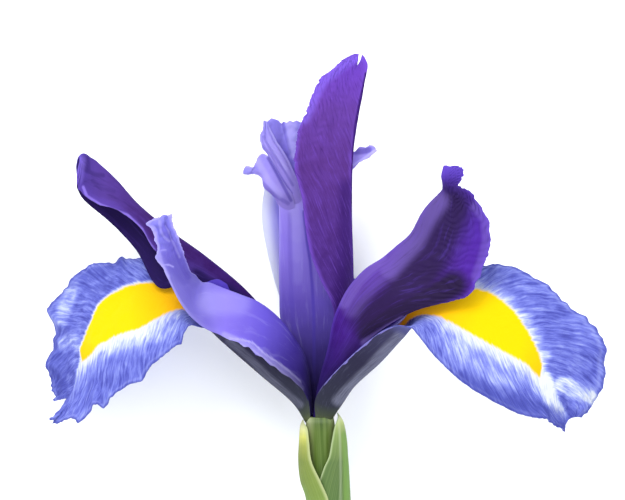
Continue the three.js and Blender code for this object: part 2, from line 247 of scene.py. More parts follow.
def strokes(marks):
    """Each mark is (points, width, strength) or (points, width, strength, half of the petal)."""

    def measure(_s, t, _half, point):
        strongest = 0.0
        for points, width, strength, *side in marks:
            if strength <= strongest or (side and t * side[0] < 0):
                continue
            away = distance_to(points, point.x, point.y)
            if away < width:
                faded = smooth(STROKE_CORE * width, width, away)
                strongest = max(strongest, strength * (1 - faded))
        return strongest

    return measure


# %% [markdown]
# The signal has a clear outline, so it is measured as a distance: each vertex stores how many
# millimetres it lies inside the signal, and less than zero outside. A material can then draw
# a crisp edge, a white halo or a streak of any width from that one number. The outline is a
# short list of (share along the petal, far edge, near edge), and the edges are values of t.

# %% Inside or outside the signal
PETAL_LENGTH = 75


def inside_signal(outline):
    first, last = outline[0][0], outline[-1][0]

    def measure(s, t, half, _point):
        if s <= first:
            far, near = outline[0][1:]
        elif s >= last:
            far = near = sum(outline[-1][1:]) / 2
        else:
            k = max(i for i, row in enumerate(outline) if row[0] <= s)
            (s0, far0, near0), (s1, far1, near1) = outline[k], outline[k + 1]
            f = (s - s0) / (s1 - s0)
            far, near = far0 + f * (far1 - far0), near0 + f * (near1 - near0)
        sideways = min(t - far, near - t) * half
        beyond = (last - s) * PETAL_LENGTH
        return min(sideways, beyond) if sideways > 0 else sideways + min(beyond, 0) * 0.5

    return measure


# %% [markdown]
# Each petal's margin is ragged in its own way. A list of (share along the petal, reach in
# millimetres) moves it out to a cusp or back to a notch, straight from one point to the next,
# and noise adds the small teeth. The margin moves in the flower's own plane, in the direction
# in which it points, so a cusp doesn't dive with a petal that bends down. The inner parts
# follow with the cube of t, which leaves the midrib where it is.

# %% Ragged margins
TIP_START = 0.86
LEAST_SPREAD = 0.35
SMALL_TEETH, THEIR_DEPTH = 2.6, 0.7


def reach_at(cusps, s):
    for (s0, low), (s1, high) in zip(cusps, cusps[1:]):
        if s0 <= s < s1:
            return low + (high - low) * (s - s0) / (s1 - s0)
    return 0.0


def outward(sheet, s, side):
    """The direction in the flower's plane in which the margin points, short where it is edge-on."""
    step = sheet(s, 1.02 * side) - sheet(s, side)
    flat = Vector((step.x, step.y, 0))
    return flat / max(flat.length, LEAST_SPREAD * step.length)


def margins(sheet, first=(), second=(), teeth=(0.2, 0.2), count=40, start=0.4, seed=1, tip=()):
    """Moves both margins. teeth is the depth in mm on the first and on the second margin, and
    tip says how far the tip is cut back, as (t, share of the length) pairs."""
    directions = {}

    def move(s, t):
        side = t > 0
        if (s, side) not in directions:
            directions[s, side] = outward(sheet, s, 1 if side else -1)
        place = Vector((s * count, 3 if side else 9, seed))
        jagged = noise.noise(place) + THEIR_DEPTH * noise.noise(place * SMALL_TEETH)
        reach = teeth[side] * jagged * smooth(start, start + 0.1, s)
        reach += reach_at(second if side else first, s)
        shift = directions[s, side] * (reach * abs(t) ** 3)
        return s - reach_at(tip, t) * smooth(TIP_START, 1, s), t, shift

    return move


# %% [markdown]
# Every piece that isn't a stamen starts as bmesh's flat grid with a UV map, u across and v
# along. A finished piece is filed under its name.

# %% The flat grid and the finished piece
pieces = {}


def flat_grid(rows, columns, crowd=0.0, marks=()):
    """A grid with a UV map and a float layer for each mark. places gives each vertex's (s, t),
    and crowd draws the columns towards the margins."""
    bm = bmesh.new()
    bmesh.ops.create_grid(bm, x_segments=columns, y_segments=rows, size=1)
    uv = bm.loops.layers.uv.new("UVMap")
    layers = {mark: bm.verts.layers.float.new(mark) for mark in marks}
    places = {
        vert: ((vert.co.y + 1) / 2, vert.co.x * (1 + crowd - crowd * vert.co.x**2))
        for vert in bm.verts
    }
    for face in bm.faces:
        for loop in face.loops:
            s, t = places[loop.vert]
            loop[uv].uv = ((t + 1) / 2, s)
    return bm, places, layers


def linked(name, bm):
    """An object with this bmesh as its mesh."""
    mesh = bpy.data.meshes.new(name)
    bm.to_mesh(mesh)
    bm.free()
    made = bpy.data.objects.new(name, mesh)
    bpy.context.scene.collection.objects.link(made)
    return made


def filed(name, made, flat_ends=False):
    """Files a piece. Its shading is smooth, but not on flat ends with more than four corners."""
    for face in made.data.polygons:
        face.use_smooth = not flat_ends or len(face.vertices) == 4
    pieces[name] = made
    print(name, len(made.data.polygons), "faces")


# %% [markdown]
# One function grows a petal. It moves each vertex of the grid to its place on the sheet, and
# stores what the materials need as named attributes, such as the distance from the margin in
# millimetres and how close a point is to the heart. The columns are set closer together near
# the margins, where the frills need them. A Solidify modifier then gives the sheet its
# thickness, thinner at the margin, and puts the lower face into its own material slot, because
# many petals are coloured differently underneath.

# %% Growing a petal
PETAL, STYLE, BRACT = 0.42, 0.36, 0.4
THIN_MARGIN, THIN_REACH = 0.4, 2.5
CROWDED_MARGINS = 0.3
HEART_SHADE_SPAN = (3, 24)


# How near a point lies to the heart. The finishes lay a painted shade over the heart, where the
# flower is deepest and the pieces meet.
def heart(_s, _t, _half, point):
    return 1 - smooth(*HEART_SHADE_SPAN, point.length)


def grow(name, sheet, rows, columns, heights=(), edge=None, dark=(), pale=(), signal=(),
         upper=(0, 0, 1), thickness=PETAL):
    """A thin solid on the sheet. edge holds the settings of its ragged margins, and upper
    points to the side that gets the first material."""
    ragged = margins(sheet, **edge) if edge else lambda s, t: (s, t, Vector())
    marks = {"heart": heart, "dark": strokes(dark), "pale": strokes(pale)}
    if signal:
        marks["signal"] = inside_signal(signal)
    bm, places, layers = flat_grid(rows, columns, CROWDED_MARGINS, ("rim", *marks))
    for vert, (s, t) in places.items():
        s_cut, t_cut, shift = ragged(s, t)
        point = sheet(s_cut, t_cut) + shift
        half = sheet.half_width(s)
        vert[layers["rim"]] = half * (1 - abs(t))
        for mark, measure in marks.items():
            vert[layers[mark]] = measure(s_cut, t_cut, half, point)
        lift = sum(height(s, t, point) for height in heights)
        if lift:
            point = point + normal_at(sheet, s_cut, t) * lift
        vert.co = LAID @ point
    bm.normal_update()
    facing = (LAID.to_3x3() @ Vector(upper)).normalized()
    if sum((face.normal * face.calc_area() for face in bm.faces), Vector()).dot(facing) < 0:
        bmesh.ops.reverse_faces(bm, faces=bm.faces)
    made = linked(name, bm)
    full = made.vertex_groups.new(name="full")
    for k, item in enumerate(made.data.attributes["rim"].data):
        full.add([k], smooth(0, THIN_REACH, item.value), "REPLACE")
    shell = made.modifiers.new("thickness", "SOLIDIFY")
    shell.thickness = thickness * MM
    shell.offset = 0
    shell.vertex_group = full.name
    shell.thickness_vertex_group = THIN_MARGIN
    shell.material_offset = 1
    for _side in ("upper", "under"):
        made.data.materials.append(None)
    graph = bpy.context.evaluated_depsgraph_get()
    solid = bpy.data.meshes.new_from_object(made.evaluated_get(graph))
    made.modifiers.clear()
    made.data = solid
    filed(name, made)


# %% [markdown]
# The falls are the broad petals with the yellow signal. The haft, the narrow part near the
# heart, is a channel that the style arm covers, and the blade turns over and hangs down. The
# third fall hangs behind the flower. The grid is fine, so that the margin can break into small
# teeth and cusps.

# %% The falls' stations
FALL_LEFT = [
    [(-2.1, -2.2, -1.5), (-2.3, -2.2, 0.2), (-1.4, -2.2, 1.6)],
    [(-4, 3, -3.5), (-5, 2, 0), (-2.7, 4.5, 3.2)],
    [(-10, 11.5, -5), (-11.5, 7.5, -0.5), (-9.5, 11.5, 4.7)],
    [(-16, 18.5, -6.5), (-19.5, 14.5, -1), (-16.3, 17, 5.6)],
    [(-22, 23.5, -8.5), (-24, 19, -1.5), (-22.5, 17.5, 6.5)],
    [(-30.5, 30, -11), (-30, 23, -2), (-27.5, 15, 8)],
    [(-39, 31.5, -13.5), (-38, 21.5, -1.5), (-33.5, 10, 9)],
    [(-48, 28, -16.6), (-44.5, 16.5, -2.5), (-40, 5.5, 9)],
    [(-55, 19, -17.9), (-48.5, 11, -4.5), (-46.5, 1, 7)],
    [(-56, 6, -14.6), (-50.5, 4.5, -6), (-52, -1.5, 4)],
    [(-55, 1.5, -12), (-52, 2, -6.5), (-55, -1.5, 2)],
]
FALL_RIGHT = [
    [(2.6, -2.2, 0.2), (1.7, -2.2, 1.6), (-0.4, -2.2, 1.9)],
    [(5, 4, -1), (4.5, 2, 3), (-0.5, 3, 4.5)],
    [(7.5, 8, -0.5), (7, 5.5, 4.5), (2.5, 7.5, 7)],
    [(11.5, 14, 1), (12.5, 10.5, 6.5), (8.5, 13.5, 10)],
    [(14.5, 19.5, 2.5), (17, 15.5, 8.5), (14, 17.5, 12.5)],
    [(18.5, 24, 3), (20.5, 19.5, 11), (18.5, 17.5, 16)],
    [(26.5, 28.5, 3.5), (26.5, 20.5, 13.5), (23.5, 12, 18.5)],
    [(36.5, 30.5, 3.5), (33, 18.5, 14.5), (30, 6.5, 20)],
    [(48, 25, 4.5), (39.5, 14.5, 15), (38.5, 2, 20.5)],
    [(57, 16, 6), (44.5, 9.5, 15), (45, -0.5, 19)],
    [(57.5, 6, 8), (47.8, 4, 14.3), (47.5, -2, 16.2)],
    [(53, -0.5, 11), (50.5, -0.8, 13), (49.6, -3.2, 13.6)],
]
FALL_BACK = [
    [(-1.2, -1.9, -2.4), (0.7, -1.9, -2.6), (2.3, -1.9, -1.4)],
    [(-3, 4, -4.5), (0.5, 4, -5.2), (4.2, 4, -4)],
    [(-5, 15, -6.5), (-0.5, 15, -8), (5, 15, -6)],
    [(-9, 27, -7), (-2, 27, -10), (4.5, 27, -8)],
    [(-11.6, 39, -8.5), (-2.5, 39, -11), (4.5, 39, -9.5)],
    [(-11, 46.5, -12), (-2.5, 45, -13.5), (4.5, 44, -12.5)],
    [(-10.5, 40, -15.5), (-2.5, 39, -16.5), (4.3, 36.5, -15.5)],
    [(-10, 31, -16.3), (-1, 31.3, -17.2), (7, 30.5, -17.2)],
    [(-8, 22.5, -16.6), (3.5, 24.5, -17.4), (13.5, 27, -18.2)],
    [(-2.5, 15, -16), (9.5, 18, -17.2), (19.5, 22, -18.4)],
    [(6, 11, -15.8), (12, 13.5, -16.4), (16.5, 16.5, -17.6)],
]

# %% The signals' outlines
SIGNAL_LEFT = [
    (0.30, -0.3, 0.15), (0.42, -0.32, 0.15), (0.47, -0.34, 0.21), (0.5, -0.36, 0.3),
    (0.55, -0.37, 0.38), (0.596, -0.39, 0.41), (0.623, -0.39, 0.35), (0.65, -0.4, 0.28),
    (0.67, -0.375, 0.23), (0.69, -0.35, 0.22), (0.71, -0.29, 0.17), (0.723, -0.24, 0.16),
    (0.745, -0.19, 0.15), (0.775, -0.15, 0.11), (0.793, -0.11, 0.09), (0.806, 0.03, 0.05),
]
SIGNAL_RIGHT = [
    (0.36, -0.6, -0.5), (0.417, -0.6, -0.34), (0.456, -0.58, -0.12), (0.488, -0.56, 0.03),
    (0.517, -0.54, 0.11), (0.54, -0.53, 0.19), (0.584, -0.52, 0.24), (0.624, -0.51, 0.245),
    (0.66, -0.45, 0.25), (0.7, -0.37, 0.23), (0.739, -0.28, 0.2), (0.773, -0.19, 0.16),
    (0.796, -0.11, 0.16), (0.816, -0.03, 0.17), (0.826, 0.12, 0.15),
]
SIGNAL_BACK = [
    (0.35, -0.25, 0.25), (0.5, -0.35, 0.35), (0.6, -0.4, 0.4), (0.7, -0.25, 0.25), (0.8, 0, 0.02),
]

# %% The falls' margins
LEFT_FAR = [
    (0.587, -0.2), (0.612, 0), (0.625, 0.7), (0.637, 0), (0.65, 0.2), (0.662, 0.6), (0.675, 1.1),
    (0.687, 1.8), (0.7, 2.1), (0.725, 2.2), (0.737, 2), (0.75, 1.4), (0.762, 1.3), (0.775, 1.7),
    (0.787, 2.4), (0.802, 3.1), (0.812, 0.6), (0.825, -0.4), (0.837, -0.1), (0.85, -0.3),
    (0.862, 0.3), (0.875, 0.9), (0.887, 0.2), (0.9, -0.2), (0.925, -0.2), (0.95, -0.2),
    (0.975, -0.4), (0.99, 0.8),
]
LEFT_NEAR = [
    (0.37, 0), (0.41, -1), (0.438, -1.6), (0.461, -1.7), (0.489, -0.9), (0.507, 0.6), (0.522, 0.1),
    (0.6, 0), (0.645, 1.4), (0.679, 0.3), (0.733, 0.7), (0.758, 1.6), (0.769, 0.3), (0.785, -0.5),
    (0.801, 0.5), (0.828, 2.4), (0.838, 1.1), (0.874, 0.2), (0.92, -0.3), (0.958, 0.7),
]
RIGHT_FAR = [
    (0.61, -0.6), (0.63, -0.2), (0.662, 0.2), (0.7, 0), (0.775, -0.7), (0.781, -0.2), (0.836, 0.2),
    (0.872, 0), (0.885, 0.5), (0.908, 0.3), (0.95, -0.2),
]
RIGHT_NEAR = [
    (0.45, -0.4), (0.474, 0), (0.65, 0.5), (0.715, 0.7), (0.775, 0.6), (0.82, 0), (0.866, -0.7),
    (0.903, -0.2), (0.98, 0.2),
]

# %% Growing the falls
FALL_ROWS, FALL_COLUMNS = 300, 104
SLANT = 0.13

# Most dark strokes of the falls below paint shade in folds and under the style arms, and most pale
# ones paint sheen on ridges and along the hafts' keels.
grow(
    "fall_left", loft(FALL_LEFT), FALL_ROWS, FALL_COLUMNS,
    heights=[frill(0.35, 7, 0.5, 1.7), crumple(0.55, 7, 0.45, 0.7, seed=2),
             ridges(0.1, 38, SLANT, seed=4)],
    edge={"first": LEFT_FAR, "second": LEFT_NEAR, "teeth": (0.25, 0.12), "count": 60, "start": 0.5,
          "seed": 1},
    signal=SIGNAL_LEFT,
    dark=[
        ([(-51.6, 26.1), (-47.8, 27.8), (-44, 29), (-41.5, 30.3)], 2.4, 0.5),
        ([(-46.6, 24.4), (-44.7, 25.5), (-43.1, 26.5)], 1.8, 0.5),
        ([(-54.5, 16.8), (-55.4, 13.9), (-54.9, 12.2)], 1.1, 0.8),
        ([(-55.4, 7.7), (-53.9, 5.4), (-52.7, 2.7)], 2.4, 0.7),
        ([(-55.4, 10.7), (-53.3, 9.9), (-51.3, 6.5)], 2.2, 0.5),
        ([(-3.7, 5), (-10, 11), (-16, 15), (-22, 17)], 2.5, 0.9),
    ],
    pale=[
        ([(-51, 25), (-52.5, 22.3), (-53.6, 19.8), (-54, 18.1)], 2.2, 0.55),
        ([(-53.3, 13.4), (-51.3, 14.9), (-49.6, 13.4)], 2.2, 0.4),
        ([(-42, 13), (-39, 14.4), (-36, 15.4), (-31.9, 16.5), (-29.5, 18.2)], 2.6, 0.3),
        ([(-3.7, 1.6), (-6.8, 4.3), (-10.2, 7.4), (-13.9, 11.1), (-18, 14.8)], 1.2, 0.25),
    ],
)
grow(
    "fall_right", loft(FALL_RIGHT), FALL_ROWS, FALL_COLUMNS,
    heights=[frill(0.3, 7, 0.5, 0.6), crumple(0.35, 8, 0.5, 0.75, seed=5),
             crumple(0.8, 2.5, 0.9, 1, seed=6), ridges(0.12, 42, SLANT, seed=7)],
    edge={"first": RIGHT_FAR, "second": RIGHT_NEAR, "teeth": (0.28, 0.06), "count": 75,
          "start": 0.5, "seed": 4},
    signal=SIGNAL_RIGHT,
    dark=[
        ([(28.6, 7.4), (32.2, 5.8), (36.2, 4.2), (40.1, 2.4), (44.1, 0.8), (47.3, 0)], 2.6, 0.9),
        ([(47.6, -0.4), (48.8, -1.6), (49.4, -2.8)], 2, 0.9),
        ([(48.8, 3.6), (49.8, 1.6), (51.2, 0.2)], 1, 0.7),
    ],
    pale=[
        ([(48.6, 6.2), (51.8, 4.9), (55, 3.4)], 2.4, 0.9),
        ([(45.4, 6.8), (46.6, 4), (48, 0.8)], 2.6, 0.7),
        ([(27.1, 13), (32.1, 8.8), (37.1, 5.8)], 2.8, 0.35),
        ([(4.1, 2.7), (6.9, 5.7), (10.2, 9), (13.4, 12.6), (16.3, 15.7)], 1.8, 0.45),
    ],
)
grow(
    "fall_back", loft(FALL_BACK), 150, 80,
    heights=[frill(0.4, 6, 0.55), crumple(0.3, 6, 0.3, 0.6, seed=8)],
    edge={"first": [(0.5, 0), (0.6, -2), (0.9, -4), (1, 0)], "second": [(0.2, 0), (0.35, -3),
          (0.85, -5), (1, 0)], "seed": 6},
    signal=SIGNAL_BACK,
    upper=(0, 0, -1),
)

# %% [markdown]
# The standards are the dark violet petals. One leans back to the left, one stands in the
# middle, seen half from its edge, and the last leans over the right fall. Their tips are
# crumpled where they opened last.

# %% The standards' stations
STANDARD_FRONT = [
    [(-1.1, -1.9, 1.3), (-0.4, -1.9, 1.7), (0.3, -1.9, 1.7)],
    [(0, 5.5, 2), (0.5, 5.5, 3), (1.5, 5.5, 3.5)],
    [(2, 13, 2.5), (4, 12, 6), (6.5, 11, 7)],
    [(3.3, 19.3, 2), (6.5, 17.4, 7), (10.7, 15.4, 8.5)],
    [(5.9, 25, 2.6), (9.7, 22.1, 8.8), (14.5, 18.3, 11.5)],
    [(9.4, 29.1, 3.4), (13.7, 25.6, 10.8), (19.2, 20.9, 13.6)],
    [(13, 31.5, 4), (18.1, 27.6, 11.6), (23.8, 22.3, 14.8)],
    [(16.1, 34.1, 4.4), (21.5, 29.8, 12), (27.9, 23.3, 15.3)],
    [(18.5, 36.2, 4.8), (23.9, 31.6, 12.2), (30.5, 24.6, 15.5)],
    [(19.7, 38.1, 5.1), (25.5, 33.6, 12.2), (31.8, 27.2, 15)],
    [(20.9, 40.5, 5.5), (26.5, 36, 12), (33.5, 30.8, 14.2)],
    [(22.3, 42.4, 5.9), (27.5, 38.2, 11.6), (34.5, 34.4, 13.2)],
    [(23.9, 44.1, 6.3), (27.9, 40.5, 11.2), (34.4, 38.6, 12.4)],
    [(25, 45.2, 6.8), (28, 42.7, 10.8), (32.7, 41.8, 11.8)],
    [(25.3, 46, 7.2), (27.8, 44.3, 10.4), (30.8, 44.7, 11.2)],
    [(25.3, 47.1, 7.6), (26.8, 46.3, 10), (28.3, 46.2, 10.2)],
    [(25.1, 48.3, 8), (27, 47.7, 9.8), (28.9, 47.4, 9.8)],
    [(25.3, 49.6, 8.3), (27.2, 49.1, 9.6), (29.3, 48.8, 9.5)],
    [(25.7, 50.4, 8.5), (27.2, 50.2, 9.4), (28.7, 50.2, 9)],
]
STANDARD_RIGHT = [
    [(1.2, -1.9, -1.4), (1.7, -1.9, -0.6), (1.8, -1.9, 0.2)],
    [(2, 6.5, -1.3), (2.9, 6.5, -1.1), (3.7, 6.5, -1.5)],
    [(3, 14.5, -1), (4.5, 14.5, -1), (6, 14.5, -2)],
    [(3.1, 21.3, 0), (5.3, 21.1, -1), (7.2, 20.8, -3)],
    [(0.6, 26.9, 0.5), (4.1, 26.8, -0.6), (7.3, 27.2, -3.5)],
    [(-1.4, 32, 0.5), (2.9, 32.4, -0.8), (7.2, 33, -3.7)],
    [(-2.5, 37.5, 0.5), (2.3, 38.1, -1), (7, 39, -4)],
    [(-3.3, 43.9, 0.5), (1.8, 44.3, -1), (7, 44.6, -4)],
    [(-4.8, 50, 0.5), (1, 50.1, -1.2), (7.1, 49.7, -4)],
    [(-4.5, 54.5, 0.4), (1.2, 54.6, -1.4), (7.4, 54.3, -4)],
    [(-3.9, 58.2, 0.2), (1.9, 58.5, -1.5), (8, 58.4, -4)],
    [(-2.3, 61.9, 0), (3.1, 62.4, -1.7), (8.6, 62.1, -4)],
    [(-1.1, 65.2, -0.6), (3.9, 65.5, -2), (9.2, 65, -4)],
    [(0.6, 68.5, -1), (5.1, 68.4, -2.2), (9.7, 67.7, -3.8)],
    [(2.9, 70.3, -1.5), (6.4, 70.5, -2.3), (10.1, 69.7, -3.5)],
    [(5.1, 72.3, -2), (7.6, 72.2, -2.5), (10.3, 71.3, -3.2)],
    [(7, 73.5, -2.3), (8.4, 73.6, -2.6), (9.8, 73.3, -3)],
]
STANDARD_LEFT = [
    [(-1.6, -1.9, -0.8), (-1.3, -1.9, -1.2), (-0.8, -1.9, -1.6)],
    [(-4.6, 7, -2.4), (-4.4, 8.5, -3.2), (-4.2, 7.8, -4.2)],
    [(-10.5, 15, -4), (-9.5, 18, -5.5), (-10.5, 16.5, -7)],
    [(-17, 22.5, -4), (-15, 24.8, -6.5), (-17.5, 22, -8)],
    [(-25.5, 27.5, -2.5), (-23.4, 31.9, -6.5), (-26.5, 26, -4)],
    [(-33.1, 32.8, -1.5), (-30.2, 36.4, -6.5), (-32.9, 25.6, -2.5)],
    [(-36.5, 37.7, -3), (-37.1, 42.1, -7), (-37.6, 33, -8)],
    [(-41.1, 41.3, -4), (-41.9, 47.5, -8), (-43.1, 38.8, -10)],
    [(-45.5, 42.7, -5), (-45.7, 51.2, -8.5), (-48.4, 43.2, -11)],
    [(-48.4, 44.9, -5.6), (-47.6, 52.3, -8.7), (-50.3, 46.2, -11)],
    [(-49.5, 48.1, -6), (-48.8, 52.9, -8.5), (-50.6, 48.6, -10)],
    [(-49.9, 50, -6.5), (-49.5, 52.3, -8), (-50.3, 51.3, -8.8)],
]

# %% Growing the standards
STANDARD_ROWS, STANDARD_COLUMNS = 210, 80
RIGHT_TIP = [
    (-1, 0.045), (-0.8, 0.01), (-0.55, 0.0), (0.05, 0.003), (0.32, 0.1), (0.5, 0.004), (0.55, 0),
    (0.85, 0.015), (1.01, 0.05),
]
FRONT_TIP = [(-1, 0.012), (-0.7, 0.004), (-0.3, 0.012), (0.2, 0), (0.7, 0.004), (1.01, 0.02)]
LEFT_TIP = [
    (-1, 0.04), (-0.7, 0.01), (-0.3, 0.0), (0, 0.018), (0.4, 0.004), (0.8, 0.01), (1.01, 0.03),
]
LEFT_LOBES = [
    (0.78, 0), (0.84, 0.5), (0.87, 1.1), (0.895, 1.9), (0.915, -0.2), (0.93, 1.4), (0.95, 1.8),
    (0.965, 0.2), (0.985, 1.1), (1.01, 0),
]

# Most dark strokes below paint the shade in a standard's hollow and on the face that turns away
# from the light, and most pale ones paint the sheen on its rolled edges and ridges.
grow(
    "standard_front", loft(STANDARD_FRONT), STANDARD_ROWS, STANDARD_COLUMNS,
    heights=[crumple(0.5, 5, 0.6, 0.9, seed=11),
             ridges(0.14, 34, 0.12, start=0.25, middle=-0.8, seed=3)],
    edge={"teeth": (0.05, 0.35), "count": 38, "start": 0.3, "seed": 9, "tip": FRONT_TIP},
    dark=[
        ([(26.2, 41.7), (24.2, 36.8), (22, 31.6), (18.9, 26.2), (15.5, 22.1), (11.5, 19.1)],
          7.5, 0.9),
        ([(26.9, 26.2), (20.5, 22.6), (15.4, 20), (10.4, 16.7)], 4.5, 1),
        ([(11.5, 18.6), (9.2, 15.4), (7.4, 12.4)], 3.8, 0.45),
    ],
    pale=[
        ([(24.3, 43), (22.3, 40.3), (20.9, 37.7), (19.3, 34.8), (16.6, 31.8), (14.2, 29.2)],
          3.2, 0.45),
        ([(14.2, 29.2), (10.9, 26.5), (8.5, 23.7), (7, 21.4)], 2.8, 0.25),
        ([(13.2, 31.2), (10.6, 29.1), (8.3, 26.7), (6.5, 24), (5.6, 22.4)], 2, 0.5),
        ([(31.7, 42), (33.7, 39.2), (33.9, 35.2), (33.1, 31.6), (31.7, 27.8)], 1.6, 0.3),
        ([(9.4, 14.5), (13.5, 17.1), (16.9, 19.1)], 1.1, 0.6),
    ],
)
grow(
    "standard_right", loft(STANDARD_RIGHT), STANDARD_ROWS, STANDARD_COLUMNS,
    heights=[crumple(0.3, 5, 0.4, 0.8, seed=13),
             ridges(0.09, 30, 0.17, start=0.35, middle=1, seed=5)],
    edge={"teeth": (0.45, 0.02), "count": 60, "start": 0.45, "seed": 12, "tip": RIGHT_TIP},
    dark=[
        ([(6.4, 45.6), (6.4, 37.3), (6.2, 29.1), (5, 21.9)], 3.4, 0.7),
        ([(7, 42.5), (7.1, 48.7), (7.3, 53.8), (7.8, 59), (8.7, 63.8), (9.4, 66.6), (10, 69.5)],
          0.55, 1),
    ],
    pale=[
        ([(-3.1, 60.5), (-1.8, 63.2), (-0.8, 65.7), (0.8, 68.3), (3.1, 70.2), (5.5, 72.2),
          (7.8, 73.3)], 2.2, 0.6),
    ],
)
grow(
    "standard_left", loft(STANDARD_LEFT), STANDARD_ROWS, STANDARD_COLUMNS,
    heights=[crumple(0.45, 5, 0.55, 0.95, seed=15)],
    edge={"first": LEFT_LOBES, "second": [(0.82, 0), (0.88, -0.8), (1.01, -0.8)],
          "teeth": (0.08, 0.08), "count": 30, "start": 0.5, "seed": 14, "tip": LEFT_TIP},
    dark=[
        ([(-48.4, 43.6), (-44.1, 40), (-38.9, 35.9), (-35.2, 30.7), (-31.7, 26), (-25, 22)],
          9, 1, SECOND_HALF),
        ([(-25, 27.8), (-23.1, 26.2), (-21, 25.4), (-18.6, 24.7), (-14, 21)], 2.4, 1),
        ([(-49.4, 50.9), (-47.8, 49.6), (-46.3, 48.8), (-44.6, 48.6)], 0.7, 0.4),
        ([(-48.8, 52.5), (-47.8, 51.3), (-47.6, 49.8)], 0.7, 0.35),
        ([(-46.7, 47.5), (-45.3, 46.1), (-42.2, 45.3)], 0.6, 0.2),
    ],
    pale=[
        ([(-48.6, 46.2), (-47.8, 44.3), (-44.9, 42.5), (-42.2, 41.5), (-39.3, 40.4), (-36.3, 37.5),
          (-35.2, 35.3), (-33.6, 33)], 0.45, 0.8, FIRST_HALF),
        ([(-49.5, 51.5), (-50, 48)], 1.8, 0.4),
    ],
)

# %% [markdown]
# The style arms are the lavender petals. Each arches over a fall's haft like a roof, and its
# tip turns up into a crest, which is thin, folded and lighter than the rest. The crests that
# stand beside the main sheet are small petals of their own, and their feet sink into it.

# %% The style arms' stations
STYLE_LEFT = [
    [(-0.7, -1.9, 0.6), (-0.9, -1.9, 0.1), (-0.8, -1.9, -0.5)],
    [(-3, 4.7, 3.8), (-2.3, 9.9, 0.6), (-2.9, 6.5, -0.7)],
    [(-6.4, 7.7, 4.8), (-5.3, 15.6, 0.8), (-6.8, 11, -1.6)],
    [(-9.8, 10.3, 5.4), (-8.4, 19.4, 0.8), (-10.3, 14.7, -1.9)],
    [(-13.3, 12.9, 5.8), (-12.1, 22.2, 1.7), (-13.6, 17.8, -2)],
    [(-16.6, 14.7, 6.2), (-15.8, 23.7, 2.6), (-16.9, 19.8, -2)],
    [(-19.8, 16, 6.7), (-19.2, 24.8, 3.2), (-19.7, 22.3, -1.6)],
    [(-23, 17.4, 7.4), (-22.5, 25.6, 3.6), (-22, 25, -0.6)],
    [(-25.9, 19.9, 8), (-24.6, 24.9, 4), (-24.2, 27, 1)],
    [(-27.9, 22.7, 8.5), (-26.4, 26.3, 5.2), (-25.1, 28.2, 3)],
    [(-29.7, 26.1, 8.4), (-27.8, 28.1, 6.2), (-25.9, 28.8, 4.6)],
    [(-31.4, 29.6, 8.2), (-29, 30.2, 7), (-26.6, 30.6, 5.4)],
    [(-32.9, 31.6, 8), (-30, 32, 7.4), (-27.2, 32.4, 6)],
    [(-32.4, 33.4, 7.8), (-30, 33.8, 7.6), (-27.6, 34, 6.2)],
    [(-32.9, 35.2, 7.4), (-30.4, 35.4, 7.9), (-28.1, 35.6, 6.4)],
    [(-33.6, 37.1, 7), (-31, 37.3, 8), (-28.8, 37.3, 6.5)],
    [(-34.7, 38.5, 6.6), (-31.8, 38.7, 8), (-29.6, 38.7, 6.5)],
    [(-33.5, 39.5, 6.3), (-31.6, 39.7, 7.8), (-29.7, 39.9, 6.4)],
    [(-32.3, 40, 6), (-31, 40.2, 7.5), (-30, 40.4, 6)],
]
STYLE_LEFT_FAR_CREST = [
    [(-23.3, 24.8, 0.6), (-23.4, 26.2, 0.2), (-23.6, 25.6, -1)],
    [(-21.7, 24.4, 1.2), (-21.9, 26.8, 0.8), (-21.8, 25.8, -1)],
    [(-20.3, 24.2, 1.2), (-20.3, 27, 0.8), (-20.3, 25.8, -1)],
    [(-19, 24, 1), (-18.8, 26.1, 0.6), (-19.1, 25.2, -1)],
    [(-18.2, 23.9, 0.6), (-18.1, 24.9, 0.2), (-18.5, 24.6, -0.8)],
]
STYLE_RIGHT = [
    [(0.1, -1.9, 0.9), (0.6, -1.9, 0.7), (0.9, -1.9, 0.3)],
    [(1.4, 4.5, 1.5), (2.2, 5.5, 1.1), (3, 5, 0.3)],
    [(4.9, 9, 3.8), (5.5, 11, 3), (7, 9.8, 0.9)],
    [(10.3, 14.3, 7.3), (10.5, 17, 5.5), (12, 16, 3.2)],
    [(15.5, 17.8, 10.9), (15.5, 21.5, 8), (16.5, 21.3, 5)],
    [(18.5, 21, 12), (18.5, 24.5, 9), (17.8, 24.5, 6)],
    [(19.5, 24, 11), (19, 28, 8), (17.5, 27.5, 6.5)],
]
STYLE_BACK = [
    [(-0.3, -1.9, -0.9), (0.25, -1.9, -0.9), (0.7, -1.9, -0.6)],
    [(-2.8, 4, -2.9), (0, 4, -2.8), (1.6, 4, -3)],
    [(-7.3, 16.5, -4.2), (-1, 16.5, -4.5), (3.8, 16.5, -4)],
    [(-8, 25, -5), (-1.5, 25, -6), (4, 25, -5)],
    [(-8, 35.5, -6), (-2, 35.5, -6.5), (5, 35.5, -6)],
    [(-8.1, 42.5, -6.5), (-5.2, 42.7, -6.6), (0.4, 42.7, -6.5)],
    [(-8.7, 47.5, -6.4), (-5.8, 47.7, -6.6), (-0.6, 47.7, -6.5)],
    [(-9.7, 52.5, -6), (-6.6, 52.7, -6.3), (-1.9, 53.5, -6)],
    [(-10.3, 56.8, -5.7), (-7, 57, -5.4), (-2.5, 58.1, -6)],
    [(-10, 60.5, -5.3), (-7.2, 60.4, -5.2), (-3.1, 60.6, -5.8)],
]
